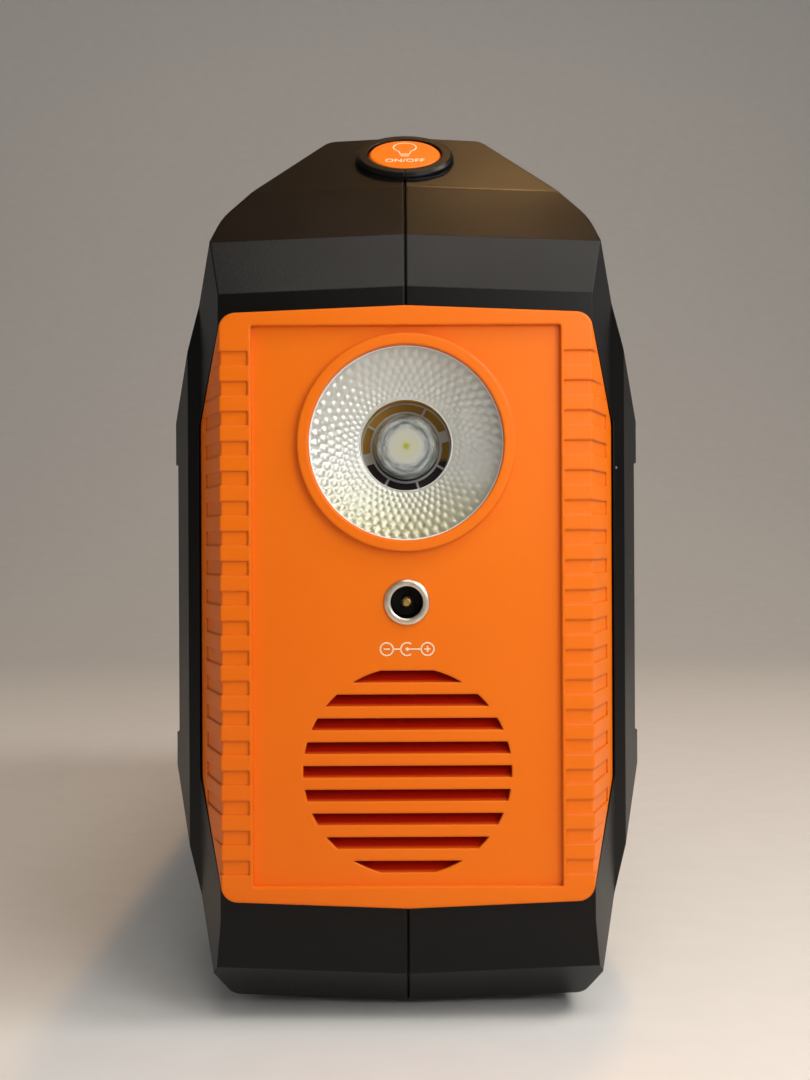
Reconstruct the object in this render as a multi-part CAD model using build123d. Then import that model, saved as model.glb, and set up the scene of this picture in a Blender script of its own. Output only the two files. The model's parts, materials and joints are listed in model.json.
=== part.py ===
"""Jump starter pack: a lantern-shaped battery pack with a carrying handle.

X is the width, Y the length with the lamp end at -Y, Z is up.
The origin is on the floor, under the middle of the pack.  All sizes are in mm.
"""
from build123d import *
from math import atan2, cos, degrees, radians, sin
import os

# ---------------------------------------------------------------- housing sizes
body_length = 230.0        # over the raised faces of the two end caps
body_width = 100.0         # over the side faces
foot_stand = 1.2           # floor to the lowest line of the housing
wall = 2.6                 # moulded wall of the two housing shells
seam_depth = 0.45          # V groove along the joint of the shells
seam_width = 0.5
fit_gap = 0.2              # all round, between pieces that locate each other
touch_gap = 0.05           # between faces that rest on each other across bodies

# Section across the pack: half widths and heights of its corners
keel_half, keel_rise = 36.3, 1.5          # shallow V of the underside
chine_half, chine_z = 38.9, 9.5
flank_low_z = 48.0
deck_z = 122.0                            # top of the flanks, floor of the hand hole
shoulder_half, shoulder_z = 37.5, 162.5
brow_half, brow_z = 31.0, 170.5
crown_half, crown_z, crown_rise = 17.0, 186.3, 1.0
shoulder_round, crown_round, keel_round = 12.0, 4.0, 2.5

# Side view: how far each corner stands back from the face of the end cap
rim_back = 1.5
belly_back = 15.2
heel_back, heel_z = 4.2, 10.4
rim_low_z, rim_high_z = 20.4, 146.3
lip_back, lip_z = 6.9, 157.9
brow_back = 16.7
crown_back = 37.0
ridge_fall = 0.04          # fall of every line across an end, per mm out from the middle

# Plan view: half width and stand-back of its corners
nose_half = 36.8
strip_half, strip_back = 42.8, 15.0
ridge_half, ridge_back = 45.6, 17.0
flank_back = 27.0

# Shallow band along both flanks
band_low_z, band_high_z, band_depth = 55.0, 113.0, 0.8

# Handle
hand_half, hand_height, hand_round = 56.0, 36.0, 13.0
grip_half = 19.0                          # half width of the bar
scoop_half, scoop_round = 60.0, 9.0       # side scoops that leave the bar free

# ---------------------------------------------------------------- end cap sizes
cap_wall = 2.4
cap_top_z, cap_low_z = 142.3, 24.6
cap_shoulder_half = 35.6                  # half width at its top and bottom corners
cap_vee = ridge_fall * cap_shoulder_half
cap_flank_high_z, cap_flank_low_z = 120.5, 47.5
cap_corner_round, cap_flank_round = 3.3, 4.0
cap_face_half = 36.4                      # flat face, before the strips turn back
cap_strip_back = 16.0
flange_back, flange_thick, flange_out = 22.0, 2.2, 2.0
collar_thick = 2.0
collar_lip = 2.0                          # rib behind the flange
panel_half, panel_low_z, panel_high_z = 30.3, 28.8, 138.5
panel_depth, panel_round = 1.2, 0.4
bar_pitch, bar_height, bar_relief = 5.85, 3.1, 0.6
bar_inner_half, bar_outer_half = 30.9, 41.0
bar_low_z, bar_high_z = 34.0, 133.5

# ---------------------------------------------------------------- lamp sizes
lamp_z = 115.6
bezel_dia, lens_view_dia = 42.7, 38.4
lens_dia, lens_thick = 41.0, 1.5
lip_thick = 2.0                           # cap lip in front of the lens
sleeve_wall = 1.8
reflector_flange, reflector_wall = 1.4, 1.0
reflector_depth, dish_behind_lip = 9.8, 0.3
neck_dia = 17.9
core_dia, core_height, core_bevel = 13.5, 6.0, 1.2
core_hollow_dia, core_hollow_height = 7.4, 3.4
hub_wall = 0.5
spoke_turns, spoke_thick = (63, 150, 241, 287, 330), 0.5     # degrees up from +X
bridge_turns, bridge_thick = (16, 197), 2.4
carrier_ring, carrier_thick = 1.5, 1.5
led_board_thick, led_size, led_height = 1.6, 3.4, 1.2
sink_thick, sink_fin_height, sink_fin_thick, sink_fin_pitch = 2.5, 8.0, 1.2, 3.6
lamp_screw_circle, lamp_screw_dia, lamp_screw_head, lamp_screw_head_high = 24.6, 2.9, 5.2, 2.0
lamp_screw_length, lamp_boss_dia = 9.0, 6.2

# ---------------------------------------------------------------- charging socket
jack_z = 84.3
jack_flange_dia, jack_flange_proud = 9.1, 0.6
jack_barrel_dia, jack_barrel_bore, jack_barrel_length = 8.0, 7.1, 16.0
jack_bore, jack_depth, jack_lip = 6.4, 10.0, 1.0
jack_pin_dia, jack_pin_back, jack_pin_root_dia = 2.1, 1.2, 3.0
jack_bevel, jack_pin_bevel, jack_tail = 0.35, 0.4, 3.0
jack_nut_flats, jack_nut_thick = 11.0, 2.4

# ---------------------------------------------------------------- grille
grille_z, grille_radius = 51.1, 20.5
louvre_count, louvre_pitch, louvre_height = 9, 4.66, 2.34
louvre_lip, louvre_depth = 0.7, 3.6       # depth at the lower and the upper edge
grille_backing = 1.6

# ---------------------------------------------------------------- light button
light_back = 27.3                         # its centre, back from the cap face
light_button_dia, light_button_proud = 15.8, 1.3
light_ring_dia, light_ring_proud = 21.3, 1.4
light_travel = 1.2
button_flange, button_flange_thick, button_bevel = 1.3, 1.2, 0.5
light_board_length, light_board_width, light_board_thick = 29.0, 14.0, 1.6
switch_size, switch_height, plunger_dia, plunger_height = 6.0, 3.4, 3.4, 0.9
light_post_dia, light_post_out = 4.4, 11.9
board_screw_dia, board_screw_head, board_screw_head_high, board_screw_length = 1.9, 3.6, 1.3, 6.0

# ---------------------------------------------------------------- control panel (+X flank)
window_length, window_height, window_thick, window_y, window_z = 46.0, 26.0, 1.4, -14.0, 84.0
window_ledge = 2.0
window_proud, window_round = 0.2, 2.0
side_button_proud, side_travel = 0.7, 0.8
power_dia, power_y, power_z = 11.0, 24.0, 91.0
boost_dia, boost_y, boost_z = 14.0, 24.0, 74.0
control_board_thick, control_board_x = 1.6, 41.6
control_board_length, control_board_height = 86.0, 40.0
control_post_dia, control_post_inset = 6.0, 4.5

# ---------------------------------------------------------------- battery and boards
battery_length, battery_width, battery_height = 151.0, 65.0, 94.0
battery_floor_z, battery_gap = 8.0, 0.3
battery_lid_height, battery_lid_step = 12.0, 0.8
battery_case_round, battery_lid_round = 2.5, 2.0
terminal_width, terminal_thick, terminal_height = 6.35, 0.8, 6.3
terminal_y, terminal_x = 68.0, 22.0
cradle_rib_thick, cradle_rib_y, cradle_top_z = 3.0, 34.0, 70.0
cradle_stop_height = 12.0                 # of the ribs that stop the battery lengthwise
pad_thick, pad_width, pad_length, pad_x, pad_y = 2.0, 8.0, 24.0, 8.0, 57.0
board_length, board_width, board_thick, board_post_length = 92.0, 72.0, 1.6, 3.0
board_post_dia, board_post_inset = 6.0, 5.0
relay_length, relay_width, relay_height, relay_round = 26.0, 20.0, 9.0, 1.0
capacitor_count, capacitor_dia, capacitor_length = 3, 8.0, 9.5
capacitor_gap, capacitor_bevel = 2.0, 0.6
board_sink_length, board_sink_width, board_sink_height, board_sink_fins = 40.0, 16.0, 9.0, 6

# ---------------------------------------------------------------- jump socket and covers
socket_z = 104.0
socket_width, socket_height, socket_round, socket_length = 25.0, 13.6, 4.0, 26.0
contact_spacing, contact_well_dia, contact_dia, contact_bore = 12.4, 8.2, 7.0, 5.0
contact_recess, contact_length = 2.0, 30.0
socket_flange, socket_flange_thick = 2.5, 2.0
usb_z = 66.0
usb_width, usb_height, usb_shell_wall, usb_depth, usb_spacing = 13.2, 5.8, 0.4, 14.0, 19.0
usb_tongue_width, usb_tongue_thick = 11.0, 1.9
usb_board_thick, usb_board_length, usb_board_overlap = 1.6, 20.0, 4.0
usb_rail_width, usb_rail_height = 5.0, 3.0
cover_margin = 3.2                        # cover beyond the socket that it closes
cover_thick, cover_pocket_depth, cover_gap, cover_round = 2.0, 3.0, 0.3, 2.5
hinge_pin_dia, hinge_barrel_dia, hinge_pin_grip = 1.5, 3.0, 2.5
cover_rim, thumb_ribs, thumb_rib_pitch, thumb_rib_out = 1.2, 3, 1.8, 0.4
thumb_notch_width, thumb_notch_depth = 12.0, 1.6
lead_dia, thin_lead_dia, lug_length, lug_thick = 3.6, 2.0, 6.0, 2.6
power_lead_bend, lamp_lead_bend, charge_lead_bend = 4.6, 2.6, 4.5
lamp_lead_drop = 4.6                      # of the lamp's lead below the lamp's axis

# ---------------------------------------------------------------- screws and feet
screw_dia, screw_head_dia, screw_head_high = 3.9, 7.0, 2.6
screw_seat_x, screw_reach = 8.0, 10.0
screw_boss_wall, screw_pilot_gap = 1.6, 0.02
head_bevel, cross_reach, cross_width = 0.35, 0.55, 0.14    # as shares of a head's height and diameter
foot_bevel = 0.6
low_screw_y, low_screw_z = 82.0, 14.5
post_screw_y, post_screw_z = 78.0, 136.0
grip_screw_y, grip_screw_z = 40.0, 172.5
foot_dia, foot_thick, foot_x, foot_y = 12.0, 3.6, 26.0, 74.0

# ---------------------------------------------------------------- worked-out places
end_y = body_length / 2
half_width = body_width / 2
crown_peak_z = crown_z + crown_rise
inner_deck_z = deck_z - wall
panel_face_y = end_y - panel_depth        # floor of the sunk panel in a cap
cap_inner_y = panel_face_y - cap_wall
middle_z = (cap_top_z + cap_low_z) / 2
far = 400.0                               # longer than anything in the pack
view_spare = 0.5


# ================================================================ outlines
def whole(half_points):
    """Both sides of a half outline that starts and ends on the centre line."""
    mirrored = [(-a, b) for a, b in reversed(half_points) if a > 0]
    return half_points + mirrored


def outline(plane, points, grow=0.0, rounds=()):
    """Face of a closed polygon, grown or shrunk, with rounds of (height, radius)."""
    face = make_face(Polyline(*points, close=True))
    if grow:
        face = offset(face, amount=grow, kind=Kind.INTERSECTION)
    for is_round, radius in rounds:
        corners = [v for v in face.vertices() if is_round(v.X, v.Y)]
        face = fillet(corners, max(radius + grow, 0.2))
    return plane * face


def front_outline(grow=0.0):
    """Section across the pack, seen along Y."""
    half = [
        (0, foot_stand),
        (keel_half, foot_stand + keel_rise),
        (chine_half, chine_z),
        (half_width, flank_low_z),
        (half_width, deck_z),
        (shoulder_half, shoulder_z),
        (brow_half, brow_z),
        (crown_half, crown_z),
        (0, crown_peak_z),
    ]
    rounds = [
        (lambda x, z: abs(x) > brow_half and shoulder_z - 5 < z < shoulder_z + 5, shoulder_round),
        (lambda x, z: 1 < abs(x) < brow_half - 5 and z > brow_z, crown_round),
        (lambda x, z: 1 < abs(x) < keel_half + 1 and z < chine_z - 3, keel_round),
    ]
    return outline(Plane.XZ, whole(half), grow, rounds)


def side_outline(grow=0.0):
    """Side view of the housing, taller than the front view by a little: both ends are alike."""
    slope = (crown_back - brow_back) / (crown_peak_z - brow_z)
    quarter = [
        (end_y - belly_back, foot_stand - view_spare),
        (end_y - heel_back, heel_z),
        (end_y - rim_back, rim_low_z),
        (end_y - rim_back, rim_high_z),
        (end_y - lip_back, lip_z),
        (end_y - brow_back, brow_z),
        (end_y - crown_back - slope * view_spare, crown_peak_z + view_spare),
    ]
    return outline(Plane.YZ, quarter + [(-y, z) for y, z in reversed(quarter)], grow)


def plan_outline(grow=0.0):
    """Plan view of the housing."""
    quarter = [
        (half_width, end_y - flank_back),
        (ridge_half, end_y - ridge_back),
        (strip_half, end_y - strip_back),
        (nose_half, end_y - rim_back),
    ]
    back = quarter + [(-x, y) for x, y in reversed(quarter)]
    return outline(Plane.XY, back + [(-x, -y) for x, y in back], grow)


def cap_outline(grow=0.0):
    """Edge of an end cap, seen along Y."""
    half = [
        (0, cap_low_z),
        (cap_shoulder_half, cap_low_z + cap_vee),
        (strip_half, cap_flank_low_z),
        (strip_half, cap_flank_high_z),
        (cap_shoulder_half, cap_top_z - cap_vee),
        (0, cap_top_z),
    ]
    reach = (cap_flank_high_z - cap_flank_low_z) / 2 + 5 + abs(grow)
    rounds = [
        (lambda x, z: abs(x) > 1 and abs(z - middle_z) > reach, cap_corner_round),
        (lambda x, z: abs(x) > 1 and abs(z - middle_z) < reach, cap_flank_round),
    ]
    return outline(Plane.XZ, whole(half), grow, rounds)


def slab(x_from, x_to, y_from, y_to, z_from, z_to):
    """Box between named planes."""
    size = (x_to - x_from, y_to - y_from, z_to - z_from)
    centre = ((x_from + x_to) / 2, (y_from + y_to) / 2, (z_from + z_to) / 2)
    return Pos(*centre) * Box(*size)


def rod(start, direction, length, diameter):
    """Cylinder that starts at a point and runs along a direction."""
    plane = Plane(origin=start, z_dir=direction)
    return extrude(plane * Circle(diameter / 2), amount=length)


def rod_y(x, z, y_from, y_to, diameter):
    return rod((x, y_from, z), (0, 1 if y_to > y_from else -1, 0), abs(y_to - y_from), diameter)


def rod_x(y, z, x_from, x_to, diameter):
    return rod((x_from, y, z), (1 if x_to > x_from else -1, 0, 0), abs(x_to - x_from), diameter)


def rod_z(x, y, z_from, z_to, diameter):
    return rod((x, y, z_from), (0, 0, 1 if z_to > z_from else -1), abs(z_to - z_from), diameter)


def block_y(x, z, width, height, y_from, y_to, corner):
    """Rounded rectangle across X and Z, run along Y."""
    face = Plane.XZ * (Pos(x, z) * RectangleRounded(width, height, corner))
    return Pos(0, y_to, 0) * extrude(face, amount=y_to - y_from)


def rear(shape):
    """The same thing at the other end of the pack."""
    return mirror(shape, about=Plane.XZ)


# ================================================================ housing shells
def ridged(face, fall):
    """Side view run out from the middle to both sides, its lines falling as they go."""
    right = extrude(face, amount=far, dir=(1, 0, -fall))
    return right + mirror(right, about=Plane.YZ)


def housing_form(grow=0.0):
    """The outer form, or with a negative grow the form of the cavity."""
    across = extrude(front_outline(grow), amount=far, both=True)
    side = side_outline(grow)
    upper = ridged(side, ridge_fall) & slab(-far, far, -far, far, middle_z, far)
    lower = ridged(side, -ridge_fall) & slab(-far, far, -far, far, -far, middle_z)
    down = extrude(plan_outline(grow), amount=far, both=True)
    return across & (upper + lower) & down


def hand_hole(grow=0.0):
    """Opening under the handle bar, right through the pack."""
    face = RectangleRounded(2 * (hand_half + grow), hand_height + 2 * grow, hand_round + grow)
    return extrude(Plane.YZ * (Pos(0, deck_z + hand_height / 2) * face), amount=far, both=True)


def side_scoops(grow=0.0):
    """Room beside the bar, down to the deck, on both sides."""
    low, high = deck_z - grow, deck_z + far / 2
    face = RectangleRounded(2 * (scoop_half + grow), high - low, scoop_round + grow)
    prism = extrude(Plane.YZ * (Pos(0, (low + high) / 2) * face), amount=far)
    right = Pos(grip_half - grow, 0, 0) * prism
    return right + mirror(right, about=Plane.YZ)


def along_y(face, y_from, y_to):
    """Run an outline in the XZ plane between two places on Y."""
    return Pos(0, y_to, 0) * extrude(face, amount=y_to - y_from)


def end_collar():
    """Frame at the lamp end that holds a cap by its flange."""
    outer = cap_outline(fit_gap + flange_out + collar_thick)
    back_y = -end_y + flange_back + flange_thick + collar_lip
    body = along_y(outer, -end_y, back_y) & housing_form()
    opening = along_y(cap_outline(fit_gap), -end_y - 1, -end_y + flange_back + 1)
    throat = along_y(cap_outline(-cap_wall), -end_y, back_y + 1)
    groove_from = -end_y + flange_back - touch_gap
    groove_to = -end_y + flange_back + flange_thick + touch_gap
    groove = along_y(cap_outline(flange_out + fit_gap), groove_from, groove_to)
    return body - opening - throat - groove, opening + throat + groove


def light_frame():
    """Plane on the sloping facet, at the light button, facing outwards."""
    slope = ((crown_back - brow_back), (crown_peak_z - brow_z))
    share = (light_back - brow_back) / slope[0]
    centre = (0, -end_y + light_back, brow_z + share * slope[1])
    return Plane(origin=centre, x_dir=(1, 0, 0), z_dir=(0, -slope[1], slope[0]))


light_plane = light_frame()


def on_light(shape, height=0.0):
    """Place a shape on the light button's axis, at a height over the facet."""
    return light_plane * Pos(0, 0, height) * shape


def stud(diameter, low, high):
    """Cylinder on Z between two heights."""
    return Pos(0, 0, (low + high) / 2) * Cylinder(diameter / 2, high - low)


light_flange_top = -wall - touch_gap
light_flange_low = light_flange_top - button_flange_thick
light_board_top = light_flange_low - light_travel - 0.1 - plunger_height - switch_height
light_board_low = light_board_top - light_board_thick


def shell_screw_places():
    """Y and Z of the six screws that hold the shells together."""
    pairs = [(low_screw_y, low_screw_z), (post_screw_y, post_screw_z), (grip_screw_y, grip_screw_z)]
    return [(side * y, z) for y, z in pairs for side in (-1, 1)]


def cradle(cavity):
    """Ribs across the cavity that carry the battery and press it down."""
    half_thick = cradle_rib_thick / 2
    ribs = []
    for y in (-cradle_rib_y, 0, cradle_rib_y):
        ribs.append(slab(-far, far, y - half_thick, y + half_thick, 0, cradle_top_z))
    stop = battery_length / 2 + battery_gap
    for side in (-1, 1):
        near, away = sorted((side * stop, side * (stop + cradle_rib_thick)))
        ribs.append(slab(-far, far, near, away, 0, battery_floor_z + cradle_stop_height))
        low = battery_floor_z + battery_height + pad_thick
        half_pad = pad_width / 2
        for side_x in (-1, 1):
            x_from, x_to = sorted((side_x * pad_x, side_x * (pad_x + pad_length)))
            ribs.append(slab(x_from, x_to, side * pad_y - half_pad, side * pad_y + half_pad, low, deck_z))
    room = slab(
        -battery_width / 2 - battery_gap,
        battery_width / 2 + battery_gap,
        -stop,
        stop,
        battery_floor_z,
        battery_floor_z + battery_height + 1,
    )
    board_room = slab(
        control_board_x - control_board_thick - 1,
        far,
        -control_board_length / 2 - 1,
        control_board_length / 2 + 1,
        (window_z - control_board_height / 2) - 1,
        (window_z + control_board_height / 2) + 1,
    )
    ribs_solid = ribs[0]
    for rib in ribs[1:]:
        ribs_solid = ribs_solid + rib
    return (ribs_solid & cavity) - room - board_room


def board_post_places():
    half_l = board_length / 2 - board_post_inset
    half_w = board_width / 2 - board_post_inset
    return [(x, y) for x in (-half_w, half_w) for y in (-half_l, half_l)]


def control_post_places():
    half_l = control_board_length / 2 - control_post_inset
    half_h = control_board_height / 2 - control_post_inset
    return [(y, window_z + z) for y in (-half_l, half_l) for z in (-half_h, half_h)]


board_top_z = inner_deck_z - board_post_length
board_low_z = board_top_z - board_thick
inner_flank_x = half_width - wall
band_x = half_width - band_depth
control_board_low_x = control_board_x - control_board_thick


def housing():
    """Both shells in one piece, before they are cut apart along X = 0."""
    outer = housing_form()
    cavity = housing_form(-wall) - hand_hole(wall) - side_scoops(wall)
    body = outer - cavity
    band = slab(band_x, far, -far, far, band_low_z, band_high_z)
    collar, cap_room = end_collar()
    front_set = [collar, rear(collar)]
    front_cut = [cap_room, rear(cap_room)]
    body = body - hand_hole() - side_scoops() - band - mirror(band, about=Plane.YZ)
    body = body - front_cut[0] - front_cut[1]
    body = body + front_set[0] + front_set[1] + cradle(cavity)

    # screw bosses, with a deep seat from the left
    for y, z in shell_screw_places():
        tower = rod_x(y, z, -far / 2, far / 2, screw_head_dia + 2 * fit_gap + 2 * screw_boss_wall)
        body = body + (tower & cavity)
    # posts for the two boards
    for x, y in board_post_places():
        body = body + rod_z(x, y, board_top_z, inner_deck_z + wall / 2, board_post_dia)
    for y, z in control_post_places():
        body = body + rod_x(y, z, control_board_x, inner_flank_x + 0.5, control_post_dia)
    # raised ring and posts of the light button
    ring = stud(light_ring_dia, -wall / 2, light_ring_proud)
    ring = chamfer(ring.edges().group_by(Axis.Z)[-1], light_ring_proud * 0.45)
    body = body + on_light(ring)
    for side in (-1, 1):
        post = Pos(side * light_post_out, 0, 0) * stud(light_post_dia, light_board_top, -wall / 2)
        body = body + on_light(post)

    # holes
    for y, z in shell_screw_places():
        seat = rod_x(y, z, -far, -screw_seat_x, screw_head_dia + 2 * fit_gap)
        shank = rod_x(y, z, -screw_seat_x - 1, 0, screw_dia + 2 * fit_gap)
        pilot = rod_x(y, z, -1, screw_reach + 0.5, screw_dia + 2 * screw_pilot_gap)
        body = body - seat - shank - pilot
    pilot_length = board_screw_length - board_thick + 0.3
    for x, y in board_post_places():
        body = body - rod_z(x, y, board_top_z - 1, board_low_z + board_screw_length + 0.3,
                            board_screw_dia + 2 * screw_pilot_gap)
    for y, z in control_post_places():
        body = body - rod_x(y, z, control_board_x - 1, control_board_x + pilot_length,
                            board_screw_dia + 2 * screw_pilot_gap)
    body = body - on_light(stud(light_button_dia + 2 * fit_gap, -wall - 1, light_ring_proud + 1))
    flange_seat = stud(light_button_dia + 2 * (button_flange + fit_gap), light_flange_low, -wall)
    body = body - on_light(flange_seat)
    for side in (-1, 1):
        pilot = stud(board_screw_dia + 2 * screw_pilot_gap, light_board_top - 1,
                     light_board_top + pilot_length)
        body = body - on_light(Pos(side * light_post_out, 0, 0) * pilot)
    for side_x in (-1, 1):
        for side_y in (-1, 1):
            body = body - rod_z(side_x * foot_x, side_y * foot_y, -1, foot_thick, foot_dia + 2 * fit_gap)
    # control panel in the right flank
    body = body - window_seat()
    body = body - button_hole(power_dia, power_y, power_z) - button_hole(boost_dia, boost_y, boost_z)
    # groove along the joint
    skin = outer - housing_form(-seam_depth)
    return body - (skin & slab(-seam_width / 2, seam_width / 2, -far, far, 0, far))


def window_seat():
    """Sight hole in the flank, and the ledge that the window lies on."""
    sight = slab(
        inner_flank_x - 1,
        far,
        window_y - window_length / 2 + window_ledge,
        window_y + window_length / 2 - window_ledge,
        window_z - window_height / 2 + window_ledge,
        window_z + window_height / 2 - window_ledge,
    )
    half_l, half_h = window_length / 2 + fit_gap, window_height / 2 + fit_gap
    step_x = band_x - window_thick + 0.2
    step = slab(step_x, far, window_y - half_l, window_y + half_l, window_z - half_h, window_z + half_h)
    return sight + step


def button_hole(diameter, y, z):
    return rod_x(y, z, inner_flank_x - 1, far / 2, diameter + 2 * fit_gap)


def left_and_right_shell():
    body = housing()
    left = body & slab(-far, 0, -far, far, -far, far)
    right = body & slab(0, far, -far, far, -far, far)
    return left, right


# ================================================================ end caps
def cap_plan(grow=0.0):
    """Plan view of a cap at the lamp end."""
    half = [
        (cap_face_half, -end_y),
        (strip_half, -end_y + cap_strip_back),
        (strip_half, -end_y + cap_strip_back + far),
    ]
    face = outline(Plane.XY, half + [(-x, y) for x, y in reversed(half)], grow)
    return extrude(face, amount=far, both=True)


def cap_form(grow=0.0):
    """Solid plug of the cap's outline and plan, back to its flange."""
    end = -end_y + flange_back + flange_thick
    return along_y(cap_outline(grow), -end_y - 1, end) & cap_plan(grow)


def strip_grooves():
    """Gaps between the raised bars, which wrap round both side strips."""
    skin = along_y(cap_outline(1), -end_y - 1, -end_y + flange_back) - cap_plan(-bar_relief)
    count = int((bar_high_z - bar_low_z) / bar_pitch)
    combs = []
    for number in range(count + 1):
        high = bar_low_z + number * bar_pitch
        combs.append(slab(bar_inner_half, far, -end_y - 1, far, high - bar_pitch + bar_height, high))
    # their far ends stand square to the strip
    slant = (strip_half - cap_face_half) / cap_strip_back
    end = Pos(bar_outer_half, -end_y + (bar_outer_half - cap_face_half) / slant, middle_z)
    front_of_end = end * Rot(0, 0, -degrees(atan2(slant, 1))) * Pos(0, -far / 2, 0) * Box(far, far, far)
    comb = Compound(combs) & front_of_end
    return skin & (comb + mirror(comb, about=Plane.YZ))


def blank_cap():
    """Cap at the lamp end without its openings: a pan with a flange."""
    pan = cap_form() - (cap_form(-cap_wall) & slab(-far, far, cap_inner_y_lamp, far, 0, far))
    flange_from = -end_y + flange_back
    rim = along_y(cap_outline(flange_out), flange_from, flange_from + flange_thick)
    rim = rim - along_y(cap_outline(-cap_wall), flange_from - 1, flange_from + flange_thick + 1)
    height = panel_high_z - panel_low_z
    panel = block_y(0, (panel_high_z + panel_low_z) / 2, 2 * panel_half, height,
                    -end_y - 1, -end_y + panel_depth, panel_round)
    return pan + rim - panel - strip_grooves()


cap_inner_y_lamp = -cap_inner_y
lens_front_y = -end_y + lip_thick
reflector_front_y = lens_front_y + lens_thick
carrier_front_y = reflector_front_y + reflector_flange + reflector_depth
led_board_y = carrier_front_y + carrier_thick
sink_y = led_board_y + led_board_thick
sleeve_bore = lens_dia + 2 * fit_gap
sleeve_dia = sleeve_bore + 2 * sleeve_wall


def lamp_screw_places():
    """X and Z of the four screws behind the lamp."""
    turns = [radians(45 + number * 90) for number in range(4)]
    return [(lamp_screw_circle * cos(turn), lamp_z - lamp_screw_circle * sin(turn)) for turn in turns]


def louvre(low_z):
    """Blind slot with a floor that slopes down and out."""
    points = [
        (-end_y - 1, low_z),
        (-end_y - 1, low_z + louvre_height),
        (-end_y + panel_depth + louvre_depth, low_z + louvre_height),
        (-end_y + panel_depth + louvre_lip, low_z),
    ]
    return extrude(Plane.YZ * make_face(Polyline(*points, close=True)), amount=far, both=True)


def front_cap():
    """Orange end piece with the lamp bezel, charging socket and grille."""
    cap = blank_cap()
    cap = cap + rod_y(0, lamp_z, -end_y, -end_y + lip_thick, bezel_dia)
    cap = cap + rod_y(0, lamp_z, -end_y + panel_depth, sink_y - touch_gap, sleeve_dia)
    for x, z in lamp_screw_places():
        cap = cap + rod_y(x, z, cap_inner_y_lamp - 0.5, sink_y - touch_gap, lamp_boss_dia)
    cap = cap - rod_y(0, lamp_z, -end_y + lip_thick, sink_y + 1, sleeve_bore)
    sight = rod_y(0, lamp_z, -end_y - 1, -end_y + lip_thick + 1, lens_view_dia)
    cap = cap - sight
    for x, z in lamp_screw_places():
        pilot_y = sink_y + sink_thick - lamp_screw_length - 0.5
        cap = cap - rod_y(x, z, pilot_y, sink_y + 1, lamp_screw_dia + 2 * screw_pilot_gap)
    cap = cap - rod_y(0, jack_z, -end_y - 1, cap_inner_y_lamp + 1, jack_barrel_dia + 2 * fit_gap)
    # grille, on a thicker disc of the cap
    floor_y = -end_y + panel_depth
    disc_dia = 2 * (grille_radius + grille_backing)
    cap = cap + rod_y(0, grille_z, floor_y, floor_y + louvre_depth + grille_backing, disc_dia)
    middle = (louvre_count - 1) / 2
    slots = [louvre(grille_z + (n - middle) * louvre_pitch - louvre_height / 2) for n in range(louvre_count)]
    bound = rod_y(0, grille_z, -end_y - 1, -end_y + far, 2 * grille_radius)
    return cap - (Compound(slots) & bound)


# ================================================================ lamp
def lamp_lens():
    y = lens_front_y + touch_gap
    return rod_y(0, lamp_z, y, reflector_front_y, lens_dia)


def spin_y(points, z, start_y):
    """Turn a profile of (radius, distance back) about an axis along Y."""
    face = make_face(Polyline(*[(r, back) for r, back in points], close=True))
    turned = revolve(Plane.XY * face, axis=Axis.Y)
    return Pos(0, start_y, z) * turned


def dish_profile(steps=4):
    """Inside of the reflector, wide at the front, by a parabola."""
    wide = lens_view_dia / 2 + dish_behind_lip
    neck = neck_dia / 2
    line = []
    for number in range(steps + 1):
        radius = wide + (neck - wide) * number / steps
        depth = reflector_depth * (wide ** 2 - radius ** 2) / (wide ** 2 - neck ** 2)
        line.append((radius, reflector_flange + depth))
    return line


def lamp_reflector():
    inside = dish_profile()
    outside = [(r + reflector_wall, d) for r, d in reversed(inside)]
    outside = [(r, d) for r, d in outside if d > reflector_flange]
    front = [(inside[0][0], 0)]
    flange = [(lens_dia / 2, reflector_flange), (lens_dia / 2, 0)]
    body = spin_y(front + inside + outside + flange, lamp_z, reflector_front_y)
    return body


def lamp_core_carrier():
    """Thin spokes and two thick bridges that hold the middle lens in the reflector's neck."""
    ring = rod_y(0, lamp_z, carrier_front_y, led_board_y, neck_dia + 2 * carrier_ring)
    ring = ring - rod_y(0, lamp_z, carrier_front_y - 1, led_board_y + 1, neck_dia)
    hub = rod_y(0, lamp_z, carrier_front_y, led_board_y, core_dia + 2 * (fit_gap + hub_wall))
    spokes = []
    for turns, thick in ((spoke_turns, spoke_thick), (bridge_turns, bridge_thick)):
        arm = slab(0, (neck_dia + carrier_ring) / 2, carrier_front_y, led_board_y, -thick / 2, thick / 2)
        spokes += [Pos(0, 0, lamp_z) * Rot(0, -turn, 0) * arm for turn in turns]
    body = ring + hub
    for spoke in spokes:
        body = body + spoke
    return body - rod_y(0, lamp_z, carrier_front_y - 1, led_board_y + 1, core_dia + 2 * fit_gap)


def lamp_core():
    """Clear middle lens over the light source, hollow behind."""
    front_y = led_board_y - core_height
    body = rod_y(0, lamp_z, front_y, led_board_y, core_dia)
    body = chamfer(body.edges().group_by(Axis.Y)[0], core_bevel)
    hollow = rod_y(0, lamp_z, led_board_y - core_hollow_height, led_board_y + 1, core_hollow_dia)
    return body - hollow


def led_board():
    return rod_y(0, lamp_z, led_board_y, sink_y, lens_dia - 1)


def led_emitter():
    base = slab(-led_size / 2, led_size / 2, led_board_y - led_height / 2, led_board_y,
                lamp_z - led_size / 2, lamp_z + led_size / 2)
    dome = rod_y(0, lamp_z, led_board_y - led_height, led_board_y - led_height / 2, led_size * 0.8)
    return base + dome


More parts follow.
